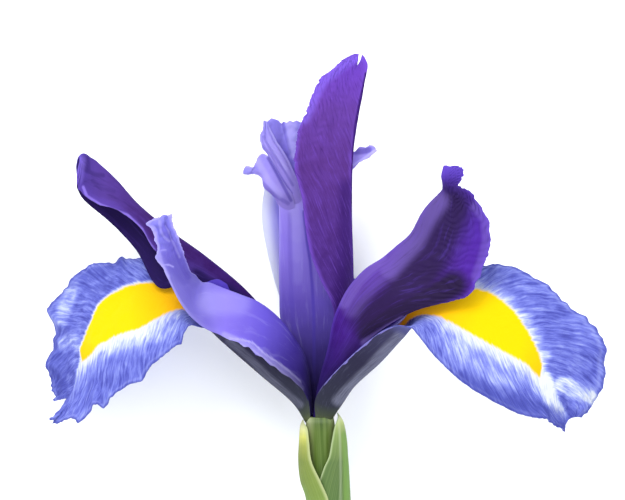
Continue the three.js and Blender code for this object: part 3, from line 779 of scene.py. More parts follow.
STYLE_BACK_HOOK = [
    [(-8.3, 42.6, -6.9), (-6.6, 40.8, -7), (-4.6, 40.6, -6.9)],
    [(-8.9, 44, -6.1), (-7.1, 42.9, -5.9), (-4.9, 43, -6.2)],
    [(-9.9, 45, -5.4), (-7.9, 44.7, -4.9), (-5.5, 45, -5.7)],
    [(-11.2, 46.2, -5), (-9.3, 46.2, -4.4), (-6.8, 46.7, -5.4)],
    [(-11.6, 47.9, -5), (-10.1, 48.5, -4.2), (-8.1, 49.3, -5.3)],
    [(-12.6, 48.8, -5), (-11.3, 50.1, -4.2), (-9.7, 52, -5.2)],
    [(-13.6, 48.9, -5), (-12.8, 50.6, -4.3), (-11.6, 53.1, -5)],
    [(-14.5, 48.8, -4.8), (-13.8, 49.7, -4.3), (-13.1, 50.7, -4.8)],
    [(-15.4, 48.9, -4.8), (-15.4, 49.7, -4.5), (-14.9, 50.6, -4.8)],
]
STYLE_BACK_LOBE = [
    [(-5.6, 42.3, -6.8), (-4.3, 42.3, -6.7), (-3.1, 42.5, -6.8)],
    [(-6.6, 45.6, -5.9), (-5.2, 45.8, -5.5), (-3.5, 46, -6)],
    [(-8.1, 48.5, -5.3), (-6.4, 48.7, -4.8), (-4.7, 48.7, -5.5)],
    [(-10.1, 52.4, -5), (-8.3, 52.4, -4.4), (-6.4, 52.4, -5.2)],
    [(-11.7, 54.7, -4.8), (-10.3, 55.5, -4.2), (-8.5, 55.7, -5)],
    [(-12, 57, -4.8), (-10.9, 57.6, -4.2), (-9.7, 58, -4.8)],
    [(-11.4, 58, -4.8), (-10.8, 58.5, -4.4), (-10.2, 59, -4.8)],
    [(-11.3, 60, -4.8), (-10.9, 59.9, -4.5), (-10.5, 59.6, -4.8)],
]
STYLE_BACK_RIGHT_CREST = [
    [(6.4, 49.2, -6.4), (6.4, 51.2, -6.8), (6.4, 53.5, -7.2)],
    [(7.5, 50.2, -6.5), (7.5, 51.9, -7.2), (7.7, 53.7, -7.8)],
    [(8.5, 51.3, -6.5), (8.5, 52.7, -7.4), (8.7, 54.7, -8)],
    [(9.7, 52, -6.4), (9.7, 53.1, -7.4), (9.8, 54.5, -8)],
    [(10.8, 52.5, -6.2), (10.7, 53.5, -7.2), (10.7, 54.9, -8)],
    [(11.8, 53.4, -6.4), (11.7, 54.1, -7.2), (11.6, 54.7, -7.8)],
    [(12.2, 53.8, -6.8), (12.2, 53.9, -7), (12.1, 54.2, -7.4)],
]

# %% Growing the style arms
CREST_TEETH = (0.22, 0.22)
BACK_TIP = [
    (-1, 0.05), (-0.85, 0.02), (-0.7, 0.0), (-0.45, 0.005), (-0.3, 0.012), (-0.1, 0.035), (0, 0.02),
    (0.2, 0.03), (0.35, 0.014), (0.5, 0.03), (0.7, 0.018), (1.01, 0.06),
]
FILM_EDGE = [
    (0.04, 0), (0.08, 0.3), (0.1, -0.1), (0.125, 0.3), (0.15, 0), (0.165, 0.4), (0.19, 0),
    (0.21, 0.5), (0.235, -0.2), (0.25, 0.4), (0.27, 0), (0.3, 0.3), (0.34, 0),
]

# Most dark strokes below paint the shade in the crests' folds and hollows, and most pale ones paint
# highlights on the edges of folds and margins.
grow(
    "style_left", loft(STYLE_LEFT), 190, 70,
    heights=[crumple(0.7, 2.8, 0.55, 0.8, seed=21), pleats(0.45, 1.5, 0.6)],
    edge={"first": FILM_EDGE, "teeth": CREST_TEETH, "count": 30, "start": 0.55, "seed": 17},
    dark=[
        ([(-31.2, 37.9), (-30.4, 36), (-29.2, 32.8)], 1.2, 0.4),
        ([(-29.9, 32), (-29, 29.5), (-27, 27)], 1.8, 0.35),
        ([(-27.7, 31.6), (-26.8, 29.1)], 1.6, 0.4),
        ([(-30.8, 38.4), (-29.4, 34.2), (-28, 30.5), (-26.6, 27.6)], 1, 0.5),
        ([(-25.5, 25), (-24, 20), (-22.5, 15)], 3, 0.25),
    ],
    pale=[
        ([(-32, 39.1), (-31.8, 37.3), (-31.2, 36), (-30.2, 35)], 0.4, 0.35),
        ([(-33.6, 37.6), (-32.8, 34), (-32, 30.8), (-30.6, 27.8)], 0.9, 0.5),
        ([(-32.6, 32.8), (-31.4, 33.2), (-30.8, 33.2)], 0.3, 0.35),
        ([(-31.6, 30.2), (-30.2, 30.2), (-29.4, 29.8)], 0.25, 0.6),
        ([(-30.8, 38.1), (-29.8, 35.8), (-29, 33.8), (-28.2, 31.8)], 0.4, 0.3),
        ([(-21.9, 22.4), (-19, 22.4), (-16.3, 22.4)], 3.6, 0.3),
        ([(-19, 16), (-16.6, 15), (-13.6, 13.4), (-10, 10.8), (-6.5, 8.1), (-3.4, 5)],
          0.9, 0.5, FIRST_HALF),
        ([(-18, 15.3), (-15, 14.9), (-13.2, 14.3), (-11, 12.2), (-8.6, 10.6), (-6, 8.6),
          (-3.6, 6.4)], 0.3, 0.95, FIRST_HALF),
        ([(-19, 15.4), (-16.4, 14.4), (-13.1, 12.7), (-9.7, 10.2), (-6.3, 7.6), (-3.1, 4.7)],
          0.35, 0.9, FIRST_HALF),
    ],
    thickness=STYLE,
)
grow(
    "style_left_far_crest", loft(STYLE_LEFT_FAR_CREST), 50, 30,
    heights=[crumple(0.2, 2.5, 0.2, 0.7, seed=23)],
    dark=[
        ([(-23.5, 26), (-20, 26.5)], 3, 0.8),
    ],
    thickness=STYLE,
)
grow(
    "style_right", loft(STYLE_RIGHT), 90, 44,
    heights=[crumple(0.3, 4, 0.6, 0.9, seed=25)],
    thickness=STYLE,
)
grow(
    "style_back", loft(STYLE_BACK), 170, 90,
    heights=[pleats(0.15, 2, 0.6, 0.6), crumple(0.35, 3.2, 0.6, 0.9, seed=27)],
    edge={"first": [(0.86, 0), (0.93, 0.5), (1.01, 1.2)], "teeth": CREST_TEETH, "count": 26,
          "start": 0.75, "seed": 19, "tip": BACK_TIP},
    dark=[
        ([(-2.9, 41.1), (-2.3, 35.3), (-1.6, 30.7), (-1.2, 26), (-0.9, 20.8), (-0.8, 13.5),
          (-0.8, 6.3)], 0.5, 0.75),
        ([(-5.8, 40.5), (-5.8, 33.2), (-5.6, 24.9), (-5, 16.6)], 0.7, 0.25),
        ([(-8.9, 59), (-8.2, 56), (-6.9, 52.7), (-5.5, 49.8), (-4.3, 46.9)], 2.2, 0.45),
        ([(-7.4, 60.1), (-6.6, 57), (-5.8, 53.9), (-5.1, 51.4)], 0.6, 0.55),
    ],
    pale=[
        ([(-5.6, 60), (-5.2, 56.4), (-4.6, 53)], 1.6, 0.9),
        ([(-5.2, 43.6), (-4.5, 39)], 1.6, 0.35),
        ([(-4.5, 39), (-4.4, 35.5)], 1.6, 0.28),
        ([(-4.4, 35.5), (-4.3, 31.5)], 1.5, 0.2),
        ([(-4.3, 31.5), (-4.2, 27)], 1.4, 0.1),
    ],
    thickness=STYLE,
)
grow(
    "style_back_hook", loft(STYLE_BACK_HOOK), 90, 44,
    heights=[crumple(0.25, 2.4, 0.3, 0.8, seed=31)],
    edge={"teeth": (0.1, 0.15), "count": 16, "start": 0.4, "seed": 22},
    dark=[
        ([(-10.3, 52.2), (-8.7, 49.3), (-7.2, 46.4), (-5.6, 43.5)], 0.5, 0.6),
        ([(-11.6, 47.3), (-8.9, 44.6), (-6.2, 42.9)], 0.6, 0.4),
    ],
    pale=[
        ([(-12.4, 51.4), (-10.3, 47.7), (-7.8, 44.6)], 0.9, 0.4),
    ],
    thickness=STYLE,
)
grow(
    "style_back_lobe", loft(STYLE_BACK_LOBE), 90, 40,
    heights=[pleats(0.22, 2.5, 0.2), crumple(0.15, 2.2, 0.3, 0.8, seed=33)],
    edge={"teeth": (0.12, 0.1), "count": 18, "start": 0.4, "seed": 24},
    dark=[
        ([(-11.2, 56.6), (-9.3, 53.1), (-7, 49.7), (-5.2, 46.6)], 0.4, 0.4),
        ([(-11.6, 54.7), (-9.5, 51.2), (-6.8, 47.1), (-5.4, 45)], 0.35, 0.5),
    ],
    pale=[
        ([(-10.6, 56), (-8.9, 53.3), (-6.6, 50)], 0.5, 0.4),
    ],
    thickness=STYLE,
)
grow(
    "style_back_right_crest", loft(STYLE_BACK_RIGHT_CREST), 60, 36,
    heights=[crumple(0.25, 2.2, 0.2, 0.7, seed=29)],
    edge={"teeth": (0.1, 0.2), "count": 14, "start": 0.3, "seed": 20},
    dark=[
        ([(7.6, 53.6), (9, 53.6), (10.6, 53.9)], 1, 0.6),
    ],
    pale=[
        ([(7, 50.6), (9, 51.8), (11.2, 53.3), (12, 54)], 0.35, 0.9),
    ],
    thickness=STYLE,
)

# %% [markdown]
# The stem and the ovary, with the perianth tube on top of it, are round, so they are rolled:
# the flat grid's columns go round the axis and its rows along it, the seam is merged, and the
# open ends are filled. The radius may depend on the height and the angle, which gives the
# ovary its three soft lobes and the stem its fine ribs.

# %% Rolling a round piece
STEM_AXIS = [
    Vector(point) for point in (
        (0.4, -1, 0), (1.3, -18, 0), (1.8, -31, 0),
        (2.4, -50, -0.3), (3, -66, -1), (3.2, -79, -1.8),
    )
]
HALVINGS = 30
SEAM = 1e-7


@functools.lru_cache(maxsize=4096)
def stem_point(height):
    """The stem's axis at this height in the flower's frame, found by halving."""
    low, high = 0.0, 1.0
    for _ in range(HALVINGS):
        middle = (low + high) / 2
        if spline_at(STEM_AXIS, middle).y > height:
            low = middle
        else:
            high = middle
    return spline_at(STEM_AXIS, low)


def round_stem(height, radius, angle, lean=0):
    """A point beside the stem's axis. The angle is 0 towards the side that faces up."""
    centre = stem_point(height)
    return Vector(
        (centre.x + lean + radius * math.sin(angle), height, centre.z + radius * math.cos(angle))
    )


def roll(name, top, bottom, radius_at, rows=90, columns=64):
    bm, places, _layers = flat_grid(rows, columns)
    for vert, (s, t) in places.items():
        angle = math.pi * t
        vert.co = LAID @ round_stem(bottom + (top - bottom) * s, radius_at(s, angle), angle)
    bmesh.ops.remove_doubles(bm, verts=bm.verts, dist=SEAM)
    bmesh.ops.holes_fill(bm, edges=[edge for edge in bm.edges if edge.is_boundary], sides=0)
    bmesh.ops.recalc_face_normals(bm, faces=bm.faces)
    filed(name, linked(name, bm), flat_ends=True)


def along(shares, x):
    """A value that runs smoothly through (share, value) pairs."""
    k = max([i for i, (share, _) in enumerate(shares[:-1]) if share <= x] or [0])
    (x0, low), (x1, high) = shares[k], shares[k + 1]
    return low + (high - low) * smooth(x0, x1, x)


OVARY = [(0, 2.7), (0.17, 3), (0.38, 3), (0.6, 2.75), (0.8, 2.75), (0.95, 3), (1, 2.85)]
LOBES = 0.015
STEM_RADIUS, STEM_RIBS, RIB_DEPTH = 2.98, 7, 0.03


def ovary_radius(share, angle):
    lobed = 1 - LOBES + LOBES * math.cos(3 * angle) * bump(0.45, 0.45, share)
    return along(OVARY, share) * lobed


def stem_radius(share, angle):
    uneven = noise.noise(Vector((share * 9, math.sin(angle), math.cos(angle))))
    return STEM_RADIUS - RIB_DEPTH * math.sin(STEM_RIBS * angle) ** 2 + 0.05 * uneven


roll("ovary", -1, -31, ovary_radius)
roll("stem", -31.4, -79, stem_radius)

# %% [markdown]
# Two bracts, leafy sheaths, clasp the ovary. They are sheets too, but their stations are
# easier to give round the stem: height, distance from the axis, lean to the side, and the
# angles in degrees at which the leaf begins and ends. The same grow function takes them,
# because it only asks for a point at each s and t.

# %% The bracts
BRACT_OUTER = [
    (-47, 4.5, 0, -235, 85), (-38, 4.4, 0, -227, 77), (-30, 4.3, 0.3, -210, 45),
    (-24, 4.25, 0.6, -193, 22), (-18, 4.3, 0.74, -175, 3), (-13.9, 4.3, -0.27, -160, -4),
    (-9.8, 4.3, -0.45, -150, -24), (-5.7, 4, -0.34, -140, -33), (-3, 3.9, -0.1, -125, -44),
    (-1.6, 3.5, 0, -98, -80),
]
BRACT_INNER = [
    (-45, 3.6, 0, -60, 240), (-36, 3.65, 0, -50, 220), (-28, 3.8, 0.5, -50, 195),
    (-21, 3.95, 1.1, -52, 178), (-18, 4, 1.2, -50, 170), (-14.9, 4, 1.2, -36, 165),
    (-12.9, 4, 1.2, -24, 160), (-10.9, 4, 1.2, -12, 155), (-8.8, 3.95, 1.2, 3, 150),
    (-5.7, 3.9, 1.2, 14, 145), (-3, 3.7, 1.1, 28, 135), (-1.6, 3.4, 1, 46, 125),
    (-0.2, 3.2, 0.4, 84, 98),
]


def wrapped(stations):
    """A leaf round the stem."""
    places = [Vector(row[:3]) for row in stations]
    turns = [Vector((*row[3:], 0)) for row in stations]

    def at(s, t):
        height, radius, lean = spline_at(places, s)
        first, last, _ = spline_at(turns, s)
        angle = math.radians((first + last + t * (last - first)) / 2)
        return round_stem(height, radius, angle, lean)

    def half_width(s):
        first, last, _ = spline_at(turns, s)
        return spline_at(places, s).y * math.radians(last - first) / 2

    at.half_width = half_width
    return at


def ribs(depth, count):
    """Fine ribs along the whole leaf."""
    return lambda s, t, _point: depth * math.cos(math.pi * count * t) * smooth(0, 0.3, 1 - abs(t))


grow(
    "bract_outer", wrapped(BRACT_OUTER), 130, 84,
    heights=[ribs(0.02, 12)],
    dark=[
        ([(-3, -16), (-1.5, -20)], 1.5, 0.4),
    ],
    upper=(-1, 0, 0),
    thickness=BRACT,
)
grow(
    "bract_inner", wrapped(BRACT_INNER), 130, 84,
    heights=[ribs(0.015, 12)],
    dark=[
        ([(5.4, -4.5), (5.7, -10), (5.9, -24)], 1.1, 1),
    ],
    pale=[
        ([(4.1, -1), (4.4, -6), (4.5, -12), (4.5, -24)], 0.35, 0.25),
    ],
    upper=(1, 0, 0),
    thickness=BRACT,
)

# %% [markdown]
# Under each style arm sits a stamen: a thin filament that carries a long anther. They hardly
# show, but a flower without them would look hollow from the side. The filament is a small
# circle, extruded step by step along a curve. The anther is a sphere, stretched along the
# filament's end and pinched into its two pollen sacs.

# %% Stamens
STAMENS = {
    "stamen_left": [(-1.8, -1.9, 0.1), (-3.8, 3.6, 0.3), (-9, 11, 0), (-13, 14.5, 0)],
    "stamen_right": [(1.15, -1.9, 1.4), (3.1, 3.5, 2.1), (6.5, 8.2, 3), (10, 13, 4.6)],
    "stamen_back": [(0.5, -1.9, -1.75), (0.2, 4, -3.9), (-0.6, 15, -6.2), (-1.4, 23, -7.8)],
}
FILAMENT_RADIUS = 0.34
FILAMENT_STEPS = 26
POLLEN_GROOVE = 0.16
ANTHER_RADIUS, ANTHER_LENGTH, ANTHER_SEAT = 0.8, 10, 0.35
FLATTER = 0.8


def along_z(direction):
    return direction.to_track_quat("Z", "Y").to_matrix()


for name, path in STAMENS.items():
    points = [Vector(point) for point in path]
    end = points[-1]
    heading = (end - spline_at(points, 0.97)).normalized()
    bm = bmesh.new()
    bmesh.ops.create_uvsphere(bm, u_segments=28, v_segments=24, radius=1)
    for vert in bm.verts:
        groove = 1 - POLLEN_GROOVE * math.cos(2 * math.atan2(vert.co.y, vert.co.x)) ** 8
        vert.co.x *= ANTHER_RADIUS * groove
        vert.co.y *= ANTHER_RADIUS * FLATTER * groove
        vert.co.z *= ANTHER_LENGTH / 2
    seat = Matrix.Translation(end + heading * ANTHER_LENGTH * ANTHER_SEAT)
    bmesh.ops.transform(bm, matrix=seat @ along_z(heading).to_4x4(), verts=bm.verts)
    ring = bmesh.ops.create_circle(bm, radius=FILAMENT_RADIUS, segments=16, cap_ends=True)["verts"]
    bmesh.ops.rotate(bm, verts=ring, matrix=along_z(points[1] - points[0]))
    bmesh.ops.translate(bm, verts=ring, vec=points[0])
    rim = [edge for edge in bm.edges if edge.verts[0] in ring and edge.verts[1] in ring]
    curve = [spline_at(points, k / FILAMENT_STEPS) for k in range(FILAMENT_STEPS + 1)]
    for here, there in zip(curve, curve[1:]):
        new = bmesh.ops.extrude_edge_only(bm, edges=rim)["geom"]
        ring = [item for item in new if isinstance(item, bmesh.types.BMVert)]
        edges = [item for item in new if isinstance(item, bmesh.types.BMEdge)]
        rim = [edge for edge in edges if edge.verts[0] in ring and edge.verts[1] in ring]
        bmesh.ops.translate(bm, verts=ring, vec=there - here)
    bmesh.ops.holes_fill(bm, edges=rim, sides=0)
    bmesh.ops.recalc_face_normals(bm, faces=bm.faces)
    bmesh.ops.transform(bm, matrix=LAID, verts=bm.verts)
    filed(name, linked(name, bm))

# %% [markdown]
# Now the finishes. Colours are given as on a screen, from 0 to 255, and converted to the
# linear values that the shaders expect. A node's output is wrapped in a Value, and arithmetic
# with Values adds Math nodes: signal + streak * 1.5 adds the two that it takes. So each
# material below reads as a recipe.

# %% Node helpers
BRIGHT_TABLE = 1.25


def paint(red, green, blue):
    """A colour as it looks on this bright table, as the shaders' linear colour."""

    def linear(c):
        c /= 255
        return (c / 12.92 if c <= 0.04045 else ((c + 0.055) / 1.055) ** 2.4) / BRIGHT_TABLE

    return (linear(red), linear(green), linear(blue), 1)


def put(tree, kind, sockets=None, **settings):
    """Adds a node. sockets maps an input's name or number to a constant or to a Value."""
    node = tree.nodes.new(kind)
    for key, value in settings.items():
        setattr(node, key, value)
    for key, value in (sockets or {}).items():
        if isinstance(value, Value):
            tree.links.new(value.socket, node.inputs[key])
        else:
            node.inputs[key].default_value = value
    return node


def mixed(tree, share, under, top):
    """under where share is 0 and top where it is 1. Each colour is a Value or (r, g, b)."""
    under, top = (c if isinstance(c, Value) else paint(*c) for c in (under, top))
    return Value(put(tree, "ShaderNodeMix", {0: share, 6: under, 7: top}, data_type="RGBA"), 2)


class Value:
    """A node's output. Each method adds a node to the same tree."""

    def __init__(self, node, output=0):
        self.socket = node.outputs[output]
        self.tree = node.id_data

    def reckon(self, operation, other=0.0):
        return Value(put(self.tree, "ShaderNodeMath", {0: self, 1: other}, operation=operation))

    def __add__(self, other):
        return self.reckon("ADD", other)

    def __sub__(self, other):
        return self.reckon("SUBTRACT", other)

    def __mul__(self, other):
        return self.reckon("MULTIPLY", other)

    def __truediv__(self, other):
        return self.reckon("DIVIDE", other)

    def __abs__(self):
        return self.reckon("ABSOLUTE")

    def step(self, low, high, to_low=0.0, to_high=1.0):
        """A soft step from to_low to to_high while the value goes from low to high."""
        ends = {"Value": self, "From Min": low, "From Max": high, "To Min": to_low,
                "To Max": to_high}
        return Value(put(self.tree, "ShaderNodeMapRange", ends, interpolation_type="SMOOTHSTEP"))

    def over(self, share, top):
        """This colour with top laid on it."""
        return mixed(self.tree, share, self, top)

    def between(self, under, top):
        """A colour between these two, with this value as the share."""
        return mixed(self.tree, self, under, top)

    def ramp(self, stops):
        """Runs through colours. Each stop is (place, red, green, blue)."""
        node = put(self.tree, "ShaderNodeValToRGB", {0: self})
        line = node.color_ramp
        line.elements.remove(line.elements[1])
        for k, (place, *colour) in enumerate(stops):
            stop = line.elements[0] if k == 0 else line.elements.new(place)
            stop.position = place
            stop.color = paint(*colour)
        return Value(node)

    def parts(self):
        node = put(self.tree, "ShaderNodeSeparateXYZ", {0: self})
        return [Value(node, k) for k in range(3)]

    def noise(self, scale, detail, roughness=0.5, dimensions="3D"):
        """Noise over this place, or with 1D along this number."""
        start = {"1D": "W", "3D": "Vector"}[dimensions]
        sockets = {start: self, "Scale": scale, "Detail": detail, "Roughness": roughness}
        return Value(put(self.tree, "ShaderNodeTexNoise", sockets, noise_dimensions=dimensions))


def group(name, inputs, build):
    """A node group. inputs holds each number's default, or None for a vector. build takes the
    inputs as Values and returns the outputs by name."""
    tree = bpy.data.node_groups.new(name, "ShaderNodeTree")
    for title, value in inputs.items():
        kind = "NodeSocketVector" if value is None else "NodeSocketFloat"
        socket = tree.interface.new_socket(title, in_out="INPUT", socket_type=kind)
        if value is not None:
            socket.default_value = value
    source = tree.nodes.new("NodeGroupInput")
    results = build({title: Value(source, title) for title in inputs})
    for title in results:
        tree.interface.new_socket(title, in_out="OUTPUT", socket_type="NodeSocketFloat")
    goal = tree.nodes.new("NodeGroupOutput")
    for title, value in results.items():
        tree.links.new(value.socket, goal.inputs[title])
    print(name, "has", len(tree.nodes), "nodes")
    return tree


# %% [markdown]
# Veins leave the midrib at a slant and run out to the margin, and in the haft they run
# lengthwise. In the petal's UV map the first kind are lines where v, less a slant times the
# distance from the midrib, stays the same, and the second kind are a fan of lines through one
# point below the foot. One group counts these lines as one number, and stretches a noise along
# them, so that every vein is a row of short streaks, as fine and as broken as in a real petal.

# %% The vein group
def build_veins(given):
    u, v, _ = given["Map"].parts()
    wander = given["Place"].noise(160.0, 2.0)
    sideways = u - given["Middle"]
    away = abs(sideways)
    fan = sideways / (v + given["Foot"])
    across = v - away * given["Slant"]
    bent = (wander - 0.5) * given["Wander"]
    line = fan * given["Long lines"] + (across * given["Cross lines"] + bent)
    share = (away + v) * given["Streaks"]
    spot = Value(put(u.tree, "ShaderNodeCombineXYZ", {0: line, 1: share}))
    streaks = spot.noise(1.0, 4.0, 0.65)
    return {"Dark": streaks.step(0.48, 0.3), "Pale": streaks.step(0.52, 0.7), "Height": streaks}


VEINS = group(
    "petal veins",
    {"Map": None, "Place": None, "Long lines": 0.0, "Cross lines": 0.0, "Middle": 0.5,
     "Foot": 0.3, "Slant": 0.26, "Wander": 1.0, "Streaks": 7.0},
    build_veins,
)


# %% [markdown]
# A petal's skin is made of tiny domed cells that sparkle, and the colour under it is never
# quite even. The second group gives both: a fine grain and a soft mottle in object space.

# %% The skin group
def build_skin(given):
    place = given["Place"]
    cells = put(place.tree, "ShaderNodeTexVoronoi", {"Vector": place, "Scale": given["Cells"]})
    mottle = place.noise(given["Mottle"], 4.0)
    return {"Grain": Value(cells, "Distance"), "Mottle": mottle.step(0.3, 0.7)}


SKIN = group("petal skin", {"Place": None, "Cells": 3500.0, "Mottle": 300.0}, build_skin)


# %% [markdown]
# Each finish ends the same way: a Principled shader for the silky surface, mixed with a
# Translucent one, because light that falls on a petal partly comes out on its other side.
# The veins go into a Bump node for the surface relief.

# %% Opening and closing a finish
# The painted shade laid over the petals deep in the heart of the flower.
HEART_SHADE = (34, 22, 80)
# A painted glow: a finish may feed a colour into Emission, which no petal gives, to keep it bright
# in shade.
PAINTED_GLOW_STRENGTH = 0.35
RELIEF_DEPTH = 0.0003


class Finish:
    """A material in the making: where a point lies on the piece, its veins and its skin."""

    def __init__(self, name, veins=None, skin=None):
        self.material = bpy.data.materials.new(name)
        self.material.use_nodes = True
        self.tree = self.material.node_tree
        self.tree.nodes.clear()
        coordinates = put(self.tree, "ShaderNodeTexCoord")
        flat, self.place = Value(coordinates, "UV"), Value(coordinates, "Object")
        self.u, self.v, _ = flat.parts()
        if veins is not None:
            self.veins = self.use(VEINS, {"Map": flat, "Place": self.place, **veins})
        if skin is not None:
            self.skin = self.use(SKIN, {"Place": self.place, **skin})

    def use(self, made_group, sockets):
        node = put(self.tree, "ShaderNodeGroup", sockets, node_tree=made_group)
        return {output.name: Value(node, output.name) for output in node.outputs}

    def mark(self, name):
        """One of the numbers that grow stored on the petal."""
        kind = "ShaderNodeAttribute"
        return Value(put(self.tree, kind, attribute_name=name, attribute_type="GEOMETRY"), "Fac")

    def shaded(self, colour, dark, pale):
        """Lays the strokes' painted shade and sheen, and the heart's painted shade, on a colour."""
        colour = colour.over(self.mark("dark"), dark).over(self.mark("pale"), pale)
        return colour.over(self.mark("heart") * 0.9, HEART_SHADE)

    def closed(self, colour, height, through=0.35, roughness=0.6, relief=0.25, specular=0.06,
               painted_glow=None):
        bumps = {"Strength": relief, "Distance": RELIEF_DEPTH, "Height": height}
        normal = Value(put(self.tree, "ShaderNodeBump", bumps))
        skin = {"Base Color": colour, "Roughness": roughness, "Normal": normal,
                "Specular IOR Level": specular}
        # The painted glow goes into Emission.
        if painted_glow:
            skin.update({"Emission Color": painted_glow, "Emission Strength": PAINTED_GLOW_STRENGTH})
        surface = Value(put(self.tree, "ShaderNodeBsdfPrincipled", skin))
        glowing = {"Color": colour, "Normal": normal}
        thin = Value(put(self.tree, "ShaderNodeBsdfTranslucent", glowing))
        both = Value(put(self.tree, "ShaderNodeMixShader", {0: through, 1: surface, 2: thin}))
        put(self.tree, "ShaderNodeOutputMaterial", {"Surface": both})
        return self.material


# %% [markdown]
# The fall's upper side is the most colourful part: blue with darker veins, the signal, which
# turns orange towards the haft, and a white halo round it. On the far side of the signal the
# halo is a crisp line, and on the near side it feathers out in long pale streaks between the
# veins. The u of the UV map tells the two sides apart.

# %% The falls' upper side
DEEP_BLUE = (72, 76, 164)
BLUE = (112, 120, 214)
HALO = (246, 250, 252)
YELLOW = (255, 214, 0)
AMBER = (250, 196, 10)


def fall_upper(name, far_glow):
    """far_glow is how far, in mm, the paler zone reaches beyond the signal on the far side."""
    new = Finish(name, {"Cross lines": 120.0, "Wander": 1.6, "Streaks": 6.0}, {})
    vein, signal, rim = new.veins["Height"], new.mark("signal"), new.mark("rim")
    dark = new.mark("dark")
    near_side = new.u.step(0.42, 0.56)
    reach = near_side * (8.0 - far_glow) + far_glow
    brighter = (signal / reach).step(-1, 0, 0, 0.32) * new.v.step(0.42, 0.6)
    mottled = vein + (new.skin["Mottle"] - 0.5) * 0.12
    # The dark strokes darken and the pale ones lighten the ramp's input: painted shade and sheen.
    colour = (mottled + dark * -0.12 + (new.mark("pale") * 0.38 + brighter)).ramp([
        (0.22, *DEEP_BLUE), (0.37, 90, 96, 190), (0.48, *BLUE), (0.6, 136, 146, 230),
        (0.7, 162, 172, 240), (0.82, 200, 212, 246), (0.97, *HALO),
    ])
    # A painted highlight just inside the margin, where its rolled edge catches the light, and a
    # dark line right at the margin.
    rolled_edge_highlight = rim.step(0.4, 0.6) * rim.step(1.1, 0.7) * 0.22
    colour = colour.over(rolled_edge_highlight, (176, 184, 242)).over(rim.step(0.45, 0.15, 0, 0.5), (76, 82, 166))
    # The dark strokes also lay a deeper blue along the veins: more painted shade.
    colour = colour.over(dark * vein.step(0.9, 0.4, 0.3, 0.6), (82, 88, 180))
    colour = colour.over(new.mark("heart") * 0.8, HEART_SHADE)
    streak = vein - 0.5
    feathered = signal / (near_side * 1.6 + 0.8) + streak * 2.4
    shown = new.v.step(0.44, 0.6, 0.15, 1) * (near_side * 0.2 + 0.6)
    colour = colour.over(feathered.step(-1.3, -0.1) * shown, HALO)
    warm = new.v.ramp([
        (0.38, 206, 128, 24), (0.43, 250, 166, 12), (0.53, 255, 196, 10), (0.62, *YELLOW),
        (0.74, *YELLOW), (0.81, *AMBER),
    ])
    inside = (signal + streak * 1.5).step(-0.55, 0.35)
    # The signal's warm colour also goes into Emission: a painted glow that keeps the yellow bright
    # in the shade that the standards cast on it.
    painted_glow = inside.between((0, 0, 0), warm)
    return new.closed(colour.over(inside, warm), vein, relief=0.4, painted_glow=painted_glow)


# %% [markdown]
# Underneath, a fall's haft is a dark grey violet that ends in green at the foot, with a thin
# pale line along its margin. The haft of the fall at the back is so thin that light from
# behind makes it pale.

# %% The falls' other sides
def fall_under(name, band):
    """band is the width in mm of the thin pale margin that shows along the haft."""
    new = Finish(name, {"Long lines": 14.0, "Streaks": 16.0})
    vein = new.veins["Height"]
    colour = new.v.ramp([
        (0.0, 96, 106, 58), (0.035, 66, 74, 60), (0.08, 48, 50, 64), (0.25, 44, 42, 66),
        (0.36, 62, 60, 92), (0.5, 120, 122, 206), (0.7, 150, 158, 226),
    ])
    colour = colour.over(new.veins["Pale"] * 0.2, (96, 98, 124))
    # The pale strokes paint sheen, most of it along the haft's keel.
    colour = colour.over(new.mark("pale") * vein.step(0.3, 0.6, 0.4, 1), (150, 152, 178))
    wavy = new.mark("rim") + (vein - 0.5) * 0.8
    thin = wavy.step(band * 1.3, band * 0.7) * new.v.step(0.1, 0.2)
    return new.closed(colour.over(thin, (126, 118, 192)), vein, through=0.1, roughness=0.7)


def fall_back_inner(name):
    new = Finish(name, {"Long lines": 8.0, "Streaks": 3.0})
    haft = (new.veins["Pale"] * 0.3).between((172, 164, 246), (206, 202, 252))
    haft = haft.over(new.mark("rim").step(3.0, 0.2), (234, 236, 253))
    colour = haft.over(new.v.step(0.5, 0.62), new.veins["Dark"].between(BLUE, DEEP_BLUE))
    colour = colour.over(new.mark("signal").step(-0.5, 0.3), YELLOW)
    return new.closed(colour, new.veins["Height"], through=0.5)


# %% [markdown]
# The standards are a deep violet that lets a warmer purple shine through, and the style arms
# a milky lavender. Towards the heart both darken to a dark blue: a painted shade where they meet.

# %% Standards and style arms
def standard_finish(name, stops, dark, pale, edge, edge_width, contrast, lines):
    """edge is the colour of the margin, edge_width mm wide, and of the paler veins."""
    new = Finish(name, {"Wander": 1.2, **lines}, {"Mottle": 420.0})
    colour = new.v.ramp(stops).over(new.skin["Mottle"] * 0.12, edge)
    colour = colour.over(new.mark("rim").step(edge_width, 0.0, 0, 0.5), edge)
    colour = new.shaded(colour, dark, pale)
    colour = colour.over(new.veins["Pale"] * (contrast * 0.6), edge)
    colour = colour.over(new.veins["Dark"] * contrast, dark)
    return new.closed(colour, new.veins["Height"], relief=0.3, through=0.2)


def style_finish(name, stops, pale):
    new = Finish(name, {"Long lines": 9.0}, {"Mottle": 250.0})
    colour = new.v.ramp(stops).over(new.skin["Mottle"] * 0.15, (120, 100, 220))
    colour = colour.over(new.veins["Pale"] * 0.16, pale)
    border = new.mark("rim").step(0.6, 0.0, 0, 0.7) * new.v.step(0.3, 0.6, 0.2, 1)
    colour = new.shaded(colour.over(border, pale), (84, 66, 184), pale)
    return new.closed(colour, new.veins["Height"], relief=0.2)


# %% [markdown]
# Green parts: the stem has a fine waxy bloom and darker lines along it, the bracts have
# parallel ribs and turn papery and cream at their margins and tips.

